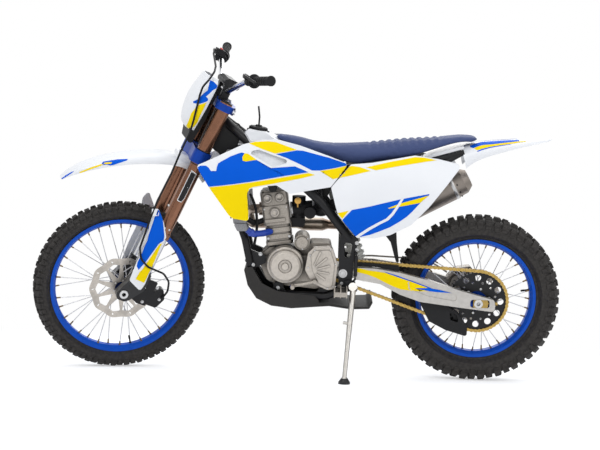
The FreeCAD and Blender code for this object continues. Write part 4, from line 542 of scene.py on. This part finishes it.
def add_knob(verts, faces, foot, top, angle, half_foot, half_top):
    """A lug between two corners at its foot and two at its top, each across and out, with half widths in radians."""
    (across_a, out_a), (across_b, out_b) = top
    inset = (across_b - across_a) * 0.12
    crest = [(across_a + inset, out_a + 0.9), (across_b - inset, out_b + 0.9)]
    rings = []
    for (ya, ra), (yb, rb), half in ((*foot, half_foot), (*top, half_top), (*crest, half_top * 0.8)):
        rings.append([around_wheel(ya, ra, angle - half), around_wheel(yb, rb, angle - half),
                      around_wheel(yb, rb, angle + half), around_wheel(ya, ra, angle + half)])
    add_rings(verts, faces, rings)


def knobby_tyre(end):
    wheel = WHEELS[end]
    tip, half, flange, rim_half, lug = wheel.tip, wheel.half, wheel.flange, wheel.rim_half, wheel.lug
    height = tip - flange
    side = [(rim_half - 6, flange - 6), (rim_half - 4.5, flange + 1), (rim_half - 1, flange + 0.1 * height),
            (half - 5.5, flange + 0.24 * height), (half - 5, flange + 0.26 * height),
            (half - 3.4, flange + 0.4 * height), (half - 2.8, flange + 0.46 * height),
            (half - 2.2, flange + 0.47 * height), (half - 2.2, flange + 0.52 * height),
            (half - 3, flange + 0.53 * height), (half - 4, flange + 0.6 * height),
            (0.84 * half, tip - lug - 0.11 * height), (0.7 * half, tip - lug - 0.04 * height),
            (0.5 * half, tip - lug), (0.26 * half, tip - lug + 1.4)]
    profile = side + [(0, tip - lug + 1.6)] + [(-y, r) for y, r in reversed(side)]
    rings = []
    for index in range(TYRE_SPANS):
        angle = 2 * math.pi * index / TYRE_SPANS
        rings.append([around_wheel(y, r, angle) for y, r in profile])
    verts, faces = [], []
    add_rings(verts, faces, rings, closed=True)

    def crown(y):
        share = abs(y) / half
        return tip - 0.9 if share < 0.36 else tip - 0.9 - (share - 0.36) * 1.9 * lug

    step = math.pi / wheel.rows
    wide = 0.36 * step if end == "front" else 0.33 * step
    deep = tip - lug - 2
    for index in range(2 * wheel.rows):
        angle = index * step
        for way in (-1, 1):
            if index % 2 == 0:
                inner, outer = 0.03 * half, 0.31 * half
                foot = [(way * inner * 0.6, deep), (way * (outer + 1), deep)]
                top = [(way * inner, crown(0) - 0.4), (way * outer, crown(0) - 0.4)]
                add_knob(verts, faces, foot, top, angle, wide * 1.12, wide)
                inner, outer = 0.76 * half, 0.985 * half
                foot = [(way * (inner - 2), deep - 0.12 * height), (way * (half - 2.5), flange + 0.62 * height)]
                top = [(way * inner, crown(inner)), (way * outer, crown(outer))]
                add_knob(verts, faces, foot, top, angle, wide * 1.1, wide * 0.95)
                low, high, broad = 0.42, 0.68, 0.9
            else:
                inner, outer = 0.37 * half, 0.63 * half
                foot = [(way * (inner - 1.2), deep), (way * (outer + 1.2), deep - 0.08 * height)]
                top = [(way * inner, crown(inner)), (way * outer, crown(outer))]
                add_knob(verts, faces, foot, top, angle, wide * 1.15, wide)
                inner, outer = 0.7 * half, half
                foot = [(way * (inner - 1.5), deep - 0.05 * height), (way * (half - 2.5), flange + 0.56 * height)]
                top = [(way * inner, crown(inner)), (way * outer, crown(outer) - 1.5)]
                add_knob(verts, faces, foot, top, angle, wide * 1.3, wide * 1.2)
                low, high, broad = 0.48, 0.64, 1.15
            foot = [(way * (half - 7), flange + low * height), (way * (half - 7), flange + high * height)]
            top = [(way * (half + 0.6), flange + (low + 0.04) * height),
                   (way * half, flange + (high - 0.03) * height)]
            add_knob(verts, faces, foot, top, angle, wide * broad, wide * broad * 0.86)
    thing = link_piece(end + "_knobby_tyre", verts, faces, TYRE, wheel.matrix, end + "_wheel")
    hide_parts(end + "_tyre")


def wheel_details(end):
    wheel = WHEELS[end]
    rim_in = wheel.flange - RIM_DEPTH
    nipple = [(4.6, -1.5), (4.6, 1.5), (3.2, 2.5), (3.0, 15), (2.2, 17)]
    verts, faces = [], []
    for side in (-1, 1):
        for index in range(SPOKE_GROUPS):
            for lay in (-1, 1):
                base = math.radians(index * 360 / SPOKE_GROUPS + (10 if side > 0 else 0) + 8 * lay)
                over = base + lay * SPOKE_SPLAY
                start = Vector((wheel.hub_out * math.cos(base), side * (wheel.hub_y + 3.6 * lay),
                                wheel.hub_out * math.sin(base)))
                goal = Vector((rim_in * math.cos(over), side * (8.5 + 2.4 * lay), rim_in * math.sin(over)))
                add_turned(verts, faces, goal, start - goal, nipple, 8)
    link_piece(end + "_nipples", verts, faces, NIPPLE, wheel.matrix, end + "_wheel")
    place = math.radians(-80 if end == "front" else 10)
    out = Vector((math.cos(place), 0, math.sin(place)))
    valve = [(5.5, 0), (5.5, 4), (3.4, 5), (3.4, 20), (4.2, 21), (4.2, 34), (3, 35)]
    turned_piece(end + "_valve", RUBBER, wheel.matrix, end + "_wheel", [(out * (wheel.flange - 20), -out, valve, 12)],
                 True)


# Roller chain, link for link on both sprockets
def add_plate(verts, faces, one, two, across, thin, wide, waist):
    """A side plate between two pins, with round ends and a narrower waist."""
    along = (two - one).normalized()
    rise = along.cross(Vector((0, 1, 0)))
    length = (two - one).length
    outline = []
    for centre, begin, middle in ((0, math.pi / 2, -waist), (length, -math.pi / 2, waist)):
        for k in range(7):
            angle = begin + math.pi * k / 6
            outline.append((centre + wide * math.cos(angle), wide * math.sin(angle)))
        outline.append((length / 2, middle))
    rings = []
    for y in (across, across + thin):
        rings.append([one + along * u + rise * w + Vector((0, y, 0)) for u, w in outline])
    add_rings(verts, faces, rings)


def chain_points():
    """Pin centres of the closed chain. The front sprocket lies where the chain's length puts it."""
    rear_ring = CHAIN_PITCH / (2 * math.sin(math.pi / REAR_TEETH))
    front_ring = CHAIN_PITCH / (2 * math.sin(math.pi / FRONT_TEETH))
    rear_step, front_step = 2 * math.pi / REAR_TEETH, 2 * math.pi / FRONT_TEETH
    rear = Vector((REAR_AXLE_X, 0, REAR_AXLE_Z))

    def run(drive_x):
        gap = rear - Vector((drive_x, 0, SPROCKET_Z))
        slope = math.atan2(gap.z, gap.x)
        splay = math.asin((rear_ring - front_ring) / gap.length)
        top, low = slope + splay + math.pi / 2, slope - splay - math.pi / 2
        straight = math.sqrt(gap.length ** 2 - (rear_ring - front_ring) ** 2) / CHAIN_PITCH
        return top, low, straight, (top - low) / rear_step, (2 * math.pi - top + low) / front_step

    near, far = 0.0, 250.0
    while far - near > 1e-9:
        middle = (near + far) / 2
        top, low, straight, on_rear, on_front = run(middle)
        if 2 * straight + on_rear + on_front > CHAIN_LINKS:
            near = middle
        else:
            far = middle
    front = Vector((near, 0, SPROCKET_Z))

    def spot(centre, radius, angle):
        return centre + Vector((radius * math.cos(angle), 0, radius * math.sin(angle)))

    points = []
    for index in range(CHAIN_LINKS):
        count = index + (top % rear_step) / rear_step
        if count <= on_rear:
            points.append(spot(rear, rear_ring, top - count * rear_step))
            continue
        count -= on_rear
        if count <= straight:
            start, goal = spot(rear, rear_ring, low), spot(front, front_ring, low)
            points.append(start + (goal - start) * (count / straight))
            continue
        count -= straight
        if count <= on_front:
            points.append(spot(front, front_ring, low - count * front_step))
            continue
        count -= on_front
        start, goal = spot(front, front_ring, top), spot(rear, rear_ring, top)
        points.append(start + (goal - start) * (count / straight))
    return points


def roller_chain():
    thick, inner, outer = 2.2, 3.7, 6.0
    points = chain_points()
    plates, plate_faces, rollers, roller_faces = [], [], [], []
    for index, here in enumerate(points):
        after = points[(index + 1) % len(points)]
        for side in (-1, 1):
            near = CHAIN_Y + side * (inner if index % 2 else outer)
            add_plate(plates, plate_faces, here, after, min(near, near + side * thick), thick, 6.6, 4.6)
        place = here + Vector((0, CHAIN_Y - 3.6, 0))
        add_turned(rollers, roller_faces, place, (0, 1, 0), [(5.0, 0), (5.0, 7.2)], 10)
        place = here + Vector((0, CHAIN_Y - 8.8, 0))
        add_turned(plates, plate_faces, place, (0, 1, 0), [(2.2, 0), (2.8, 0.6), (2.8, 17), (2.2, 17.6)], 8)
    chain = link_piece("roller_chain", plates, plate_faces, GOLD, BIKE, "chassis")
    link_piece("chain_rollers", rollers, roller_faces, STEEL, BIKE, "chassis", True)
    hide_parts("chain")


# Padded seat cover with sewn cross ribs
RIB_START, RIB_END, RIB_PITCH, RIB_HEIGHT = 255, 560, 30.5, 0.0024
RIB_EASE = 14
SEAT_SWELL = 0.006
SEAT_SIDE_BELOW = 0.93


def apply_modifiers(thing):
    graph = bpy.context.evaluated_depsgraph_get()
    made = bpy.data.meshes.new_from_object(thing.evaluated_get(graph))
    thing.modifiers.clear()
    thing.data = made


def swell(thing, limit):
    """Cloth with pressure inside, moved by the limit at most and not down onto the pieces under the seat."""
    before = [vertex.co.copy() for vertex in thing.data.vertices]
    cloth = thing.modifiers.new("stuffing", "CLOTH")
    cloth.settings.use_pressure = True
    cloth.settings.uniform_pressure_force = 2.5
    cloth.settings.effector_weights.gravity = 0
    cloth.settings.tension_stiffness = 30
    scene = bpy.context.scene
    for moment in range(1, 13):
        scene.frame_set(moment)
    apply_modifiers(thing)
    for vertex, old in zip(thing.data.vertices, before):
        change = vertex.co - old
        if change.length > limit:
            change = change.normalized() * limit
        if old.z < SEAT_SIDE_BELOW and change.z < 0 or change.z < -0.002:
            change.z = 0
        vertex.co = old + change
    scene.frame_set(1)


def rib(data):
    normals = [vertex.normal.copy() for vertex in data.vertices]
    for vertex, normal in zip(data.vertices, normals):
        x = vertex.co.x * 1000
        if RIB_START < x < RIB_END and normal.z > 0.55:
            wave = math.cos(2 * math.pi * (x - RIB_START) / RIB_PITCH)
            ease = min(1.0, (x - RIB_START) / RIB_EASE, (RIB_END - x) / RIB_EASE)
            crest = 1 if wave > 0.15 else wave * 0.9 - 0.35
            vertex.co.z += RIB_HEIGHT * ease * crest * min(1, (normal.z - 0.55) / 0.25)


def seat_cover():
    data = NODES["seat"].data.copy()
    data.name = "seat_cover"
    data.transform(BIKE.inverted())
    thing = bpy.data.objects.new("seat_cover", data)
    bpy.context.collection.objects.link(thing)
    remesh = thing.modifiers.new("even", "REMESH")
    remesh.mode = "VOXEL"
    remesh.voxel_size = 0.005
    smooth = thing.modifiers.new("soft", "SMOOTH")
    smooth.factor = 0.5
    smooth.iterations = 7
    apply_modifiers(thing)
    swell(thing, SEAT_SWELL)
    rib(thing.data)
    finer = thing.modifiers.new("finer", "SUBSURF")
    finer.levels = 1
    finer.render_levels = 1
    apply_modifiers(thing)
    thing.data.shade_smooth()
    thing.data.transform(BIKE)
    dress(thing, NAVY)
    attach(thing, "chassis")
    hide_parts("seat")


# Bolts, caps, bands and small fittings
LEFT, RIGHT, UP, REARWARD = (0, -1, 0), (0, 1, 0), (0, 0, 1), (1, 0, 0)
CYLINDER = BIKE @ Matrix.Translation((-0.073, 0, 0.528)) @ Matrix.Rotation(math.radians(-8.5), 4, "Y")
SILENCER = (BIKE @ Matrix.Translation((0.412, 0.126, 0.660)) @ Matrix.Rotation(math.radians(61.4), 4, "Y")
            @ Matrix.Diagonal((1.26, 0.86, 1, 1)))


def engine_details():
    spots = []
    for index in range(7):
        angle = math.radians(20 + index * 360 / 7)
        spots.append(((-49 + 68 * math.cos(angle), -113.8, 465 + 68 * math.sin(angle)), LEFT, 3.2))
    for x, z in ((48, 511), (66, 531), (128, 536), (149, 478), (144, 388), (120, 381), (42, 462), (72, 402)):
        spots.append(((x, -131.8, z), LEFT, 3.6))
    for angle in (0.6, 2.7, 4.8):
        spots.append(((14 + 27 * math.cos(angle), -99.8, 556 + 27 * math.sin(angle)), LEFT, 3.4))
    for index in range(8):
        angle = math.radians(index * 45 + 12)
        spots.append(((30 + 75.6 * math.cos(angle), 102, 440 + 75.6 * math.sin(angle)), RIGHT, 3.4))
    fasteners("engine_cover_screws", STEEL, BIKE, "chassis", spots, "button")
    # Painted shade: thin black discs stand in for the shade inside the three openings in the head
    turned_piece("head_opening_painted_shade", BLACK_PLASTIC, CYLINDER, "chassis",
                 [((x, y, z), RIGHT, [(10.6, 0), (10.6, 0.6)], 20)
                  for x, y, z in ((-4, -72.4, 142), (-26, -65.4, 200), (22, -65.4, 200))])
    ring = [(17, 0), (17, 1.2), (12.5, 1.2), (11.4, 0.2), (11.4, -3)]
    turned_piece("head_rims", ALLOY_LIGHT, CYLINDER, "chassis",
                 [(place, LEFT, ring, 24) for place in ((-4, -77, 142), (-26, -71, 200), (22, -71, 200))], True)
    spots = [((x, y, z), (0, y / 66, 0), 4) for y in (-66, 66) for x, z in ((-42, 40), (42, 40), (-44, 158), (44, 158))]
    fasteners("cylinder_studs", STEEL, CYLINDER, "chassis", spots)
    turned_piece("drain_plug", CLAMP_BLUE, BIKE, "chassis",
                 [((-18, -86, 377), LEFT, [(10, 0), (10, 8), (7, 9), (7, 16), (5.5, 17)], 6)])
    elbow = [(6, 0), (6, 6), (13, 7), (13, 12), (9, 13), (9, 19), (5, 20)]
    turned_piece("brass_fitting", BRASS, BIKE, "chassis",
                 [((-8, -34, 714), LEFT, elbow, 18), ((-8, -44, 704), UP, [(4, -16), (4, 10)], 10)])
    band = [(31, 0), (32.6, 1), (32.6, 8), (31, 9)]
    turned_piece("throttle_bands", STEEL, BIKE, "chassis",
                 [(place, (0.992, 0, 0.129), band, 32) for place in ((-36, 0, 671), (52, 0, 682.6))], True)


def frame_details():
    spots = [((231, -119, 564), LEFT, 6), ((232, -119, 538), LEFT, 5), ((176, -118.4, 400), LEFT, 5)]
    places = [(-150, 500), (-178, 458), (-76, 366), (-108, 826)]
    spots += [(point, LEFT, 6) for point in skin_points("frame", BIKE, places)]
    fasteners("frame_bolts", STEEL, BIKE, "chassis", spots)
    nut = [(13, 0), (13, 6), (11, 7.4), (6, 7.4), (5, 5)]
    shapes = []
    for side in (-1, 1):
        shapes.append(((SWINGARM_X, side * 118, SWINGARM_Z), (0, side, 0), [(17, 0), (17, 2.4)], 28))
        shapes.append(((SWINGARM_X, side * 120, SWINGARM_Z), (0, side, 0), nut, 6))
    turned_piece("pivot_nuts", STEEL, BIKE, "chassis", shapes)
    washer = [(15.5, 0), (15.5, 2), (8.4, 2), (8.4, 0)]
    turned_piece("axle_washers", STEEL, BIKE, "chassis",
                 [((REAR_AXLE_X, side * 129.5, REAR_AXLE_Z), (0, side, 0), washer, 28) for side in (-1, 1)])


def slot_liners():
    rim = [(-214, 918), (-166, 932), (-24, 884), (-104, 852)]
    bed = [(-204, 912), (-166, 922), (-44, 882), (-106, 864)]
    faces = [(4, 5, 6, 7), (0, 1, 5, 4), (1, 2, 6, 5), (2, 3, 7, 6), (3, 0, 4, 7)]
    for name, side in (("slot_liner_left", -1), ("slot_liner_right", 1)):
        skin = skin_points("radiator_shrouds", BIKE, rim, side)
        verts = []
        for outline, deep in ((rim, 3), (bed, 16)):
            verts += [(x, point.y - side * deep, z) for (x, z), point in zip(outline, skin)]
        link_piece(name, verts, faces, GREY_TANK, BIKE, "chassis")


def side_hoses():
    routes = {
        "left_coolant_hose": (0.011, [(-232, -96, 668), (-206, -84, 640), (-178, -66, 622), (-150, -50, 628),
                                      (-128, -40, 640)]),
        "left_wiring": (0.0055, [(-196, -92, 742), (-176, -84, 700), (-168, -78, 650), (-166, -74, 590),
                                 (-176, -74, 534)]),
    }
    for name, (radius, points) in routes.items():
        data = bpy.data.curves.new(name, "CURVE")
        data.dimensions = "3D"
        line = data.splines.new("NURBS")
        line.points.add(len(points) - 1)
        for point, place in zip(line.points, points):
            point.co = (*(Vector(place) / 1000), 1)
        line.order_u = 3
        line.use_endpoint_u = True
        data.bevel_depth = radius
        data.use_fill_caps = True
        data.transform(BIKE)
        thing = bpy.data.objects.new(name, data)
        bpy.context.collection.objects.link(thing)
        dress(thing, RUBBER)
        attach(thing, "chassis")


def silencer_details():
    centre = (0, 0, 0)
    bands = [[(46.9, low), (48.0, low + 1), (48.0, high - 1), (46.9, high)] for low, high in ((6, 20), (231, 245))]
    turned_piece("silencer_bands", STEEL, SILENCER, "chassis", [(centre, UP, band, 48) for band in bands], True)
    spots = []
    for index in range(10):
        angle = 2 * math.pi * (index + 0.5) / 10
        out = (math.cos(angle), math.sin(angle), 0)
        spots.append(((45.4 * out[0], 45.4 * out[1], 255), out, 3))
    fasteners("silencer_rivets", BLACK, SILENCER, "chassis", spots, "button")
    lip = [(15.8, 265), (18.5, 307), (18.5, 312), (16.5, 312), (15.6, 307)]
    turned_piece("silencer_lip", STEEL, SILENCER, "chassis", [(centre, UP, lip, 32)], True)


def fork_details():
    spots = [((16, side * 124, b), REARWARD, 4) for side in (-1, 1) for b in (171, 183, -54, -40, -26)]
    fasteners("clamp_bolts", STEEL, FORK, "steering", spots)
    cap = [(24, -4), (24, 0), (15, 1), (14, 4), (6, 4.6)]
    shapes = []
    for side in (-1, 1):
        for b in (160, 182):
            shapes.append(((14.6, side * 106, b), UP, [(5, 0), (5, 9)], 10))
        shapes.append(((LEG_A, side * LEG_Y, 200), UP, cap, 32))
    turned_piece("fork_caps", BLACK, FORK, "steering", shapes)
    shapes = []
    for side in (-1, 1):
        for top, deep in ((-374, 7), (-70, 4), (-10, 4)):
            band = [(27, 0), (28.6, 1), (28.6, deep - 1), (27, deep)]
            shapes.append(((LEG_A, side * LEG_Y, top - deep), UP, band, 36))
    turned_piece("leg_bands", BLACK, FORK, "steering", shapes, True)
    turned_piece("leg_studs", STEEL, FORK, "steering",
                 [((a, -127, b), LEFT, [(4.4, -4), (4.4, 0), (3, 1)], 14)
                  for a, b in ((-60, -262), (-30, -372), (-34, -352), (-14, -352))], True)
    turned_piece("stem_nut", STEEL, FORK, "steering",
                 [((0, 0, 199), UP, [(18, -2), (18, 5), (15, 7), (9, 7), (8, 4)], 6)])
    spots = [((a, y, 256), UP, 4) for y in (-46, 46) for a in (-44, -18)]
    spots += [((60, -76, -600), LEFT, 5), ((88, -76, -642), LEFT, 5), ((28, -78, -676), LEFT, 5)]
    fasteners("bar_and_caliper_bolts", STEEL, FORK, "steering", spots)
    button = [(6, -6), (6, 4), (7.5, 5), (7.5, 8), (6, 9)]
    turned_piece("stop_button", RED, FORK, "steering", [((-52, 236, 352), (0.2, -0.3, 1), button, 16)], True)


def hub_details():
    rows = (("front", FRONT_WHEEL, "front_wheel", 31, -46, -1, 4), ("rear", REAR_WHEEL, "rear_wheel", 36, 54, 1, 4),
            ("sprocket", REAR_WHEEL, "rear_wheel", 50, -74.4, -1, 5.5))
    for name, matrix, body, radius, y, side, bolt in rows:
        spots = []
        for index in range(6):
            angle = math.pi * index / 3 + 0.26
            spots.append(((radius * math.cos(angle), y, radius * math.sin(angle)), (0, side, 0), bolt))
        fasteners(name + "_rotor_bolts", STEEL, matrix, body, spots, "button")


for end in WHEELS:
    knobby_tyre(end)
    wheel_details(end)
roller_chain()
seat_cover()
engine_details()
frame_details()
slot_liners()
side_hoses()
silencer_details()
fork_details()
hub_details()

# Pale floor that fades to white, soft lamps and a backdrop that is white only for the camera and in reflections
FADE_FROM, FADE_TO = 1.1, 2.1
FLOOR_LIFT, SOFT_LIGHT = 0.42, 0.65
LAMPS = [("key", (-1.6, -3.4, 3.6), 2.2, 60), ("fill", (2.8, -3.0, 2.4), 2.2, 28), ("top", (0.2, 0.4, 4.2), 3.0, 46),
         ("back", (0.6, 3.6, 2.6), 2.4, 28)]
LAMP_TARGET = (0, 0, 0.55)


def floor_material():
    material = bpy.data.materials.new("pale_floor")
    material.use_nodes = True
    tree = material.node_tree
    tree.nodes.clear()
    link = tree.links.new
    out = add_node(tree, "OutputMaterial")
    matt = add_node(tree, "BsdfDiffuse", {"Color": (0.9, 0.9, 0.9, 1)})
    plain = add_node(tree, "Emission")
    lift = add_node(tree, "Emission", {"Strength": FLOOR_LIFT})
    near = add_node(tree, "AddShader")
    place = add_node(tree, "TexCoord")
    length = add_node(tree, "VectorMath", operation="LENGTH")
    fade = add_node(tree, "MapRange", {"From Min": FADE_FROM, "From Max": FADE_TO}, interpolation_type="SMOOTHSTEP")
    path = add_node(tree, "LightPath")
    seen = add_node(tree, "Math", operation="MAXIMUM")
    far = add_node(tree, "MixShader")
    pick = add_node(tree, "MixShader")
    link(matt.outputs["BSDF"], near.inputs[0])
    link(lift.outputs["Emission"], near.inputs[1])
    link(place.outputs["Object"], length.inputs[0])
    link(length.outputs["Value"], fade.inputs["Value"])
    link(fade.outputs["Result"], far.inputs["Fac"])
    link(near.outputs["Shader"], far.inputs[1])
    link(plain.outputs["Emission"], far.inputs[2])
    link(path.outputs["Is Camera Ray"], seen.inputs[0])
    link(path.outputs["Is Glossy Ray"], seen.inputs[1])
    link(seen.outputs["Value"], pick.inputs["Fac"])
    link(matt.outputs["BSDF"], pick.inputs[1])
    link(far.outputs["Shader"], pick.inputs[2])
    link(pick.outputs["Shader"], out.inputs["Surface"])
    return material


def build_world():
    world = bpy.data.worlds.new("studio")
    bpy.context.scene.world = world
    world.use_nodes = True
    tree = world.node_tree
    tree.nodes.clear()
    link = tree.links.new
    path = add_node(tree, "LightPath")
    soft = add_node(tree, "Background", {"Color": (0.9, 0.93, 1.0, 1), "Strength": SOFT_LIGHT})
    plain = add_node(tree, "Background", {"Color": (1, 1, 1, 1)})
    mix = add_node(tree, "MixShader")
    out = add_node(tree, "OutputWorld")
    seen = add_node(tree, "Math", operation="MAXIMUM")
    seen_in_glass = add_node(tree, "Math", operation="MAXIMUM")
    link(path.outputs["Is Camera Ray"], seen.inputs[0])
    link(path.outputs["Is Glossy Ray"], seen.inputs[1])
    link(seen.outputs["Value"], seen_in_glass.inputs[0])
    link(path.outputs["Is Transmission Ray"], seen_in_glass.inputs[1])
    link(seen_in_glass.outputs["Value"], mix.inputs["Fac"])
    link(soft.outputs["Background"], mix.inputs[1])
    link(plain.outputs["Background"], mix.inputs[2])
    link(mix.outputs["Shader"], out.inputs["Surface"])


def build_stage():
    bpy.ops.mesh.primitive_plane_add(size=24, location=(0, 0, -0.0005))
    floor = bpy.context.object
    floor.name = "floor"
    dress(floor, floor_material())
    for name, place, wide, power in LAMPS:
        data = bpy.data.lights.new(name, "AREA")
        data.size = wide
        data.energy = power
        lamp = bpy.data.objects.new(name, data)
        bpy.context.collection.objects.link(lamp)
        lamp.location = place
        lamp.rotation_euler = (Vector(LAMP_TARGET) - Vector(place)).to_track_quat("-Z", "Y").to_euler()
    build_world()


build_stage()
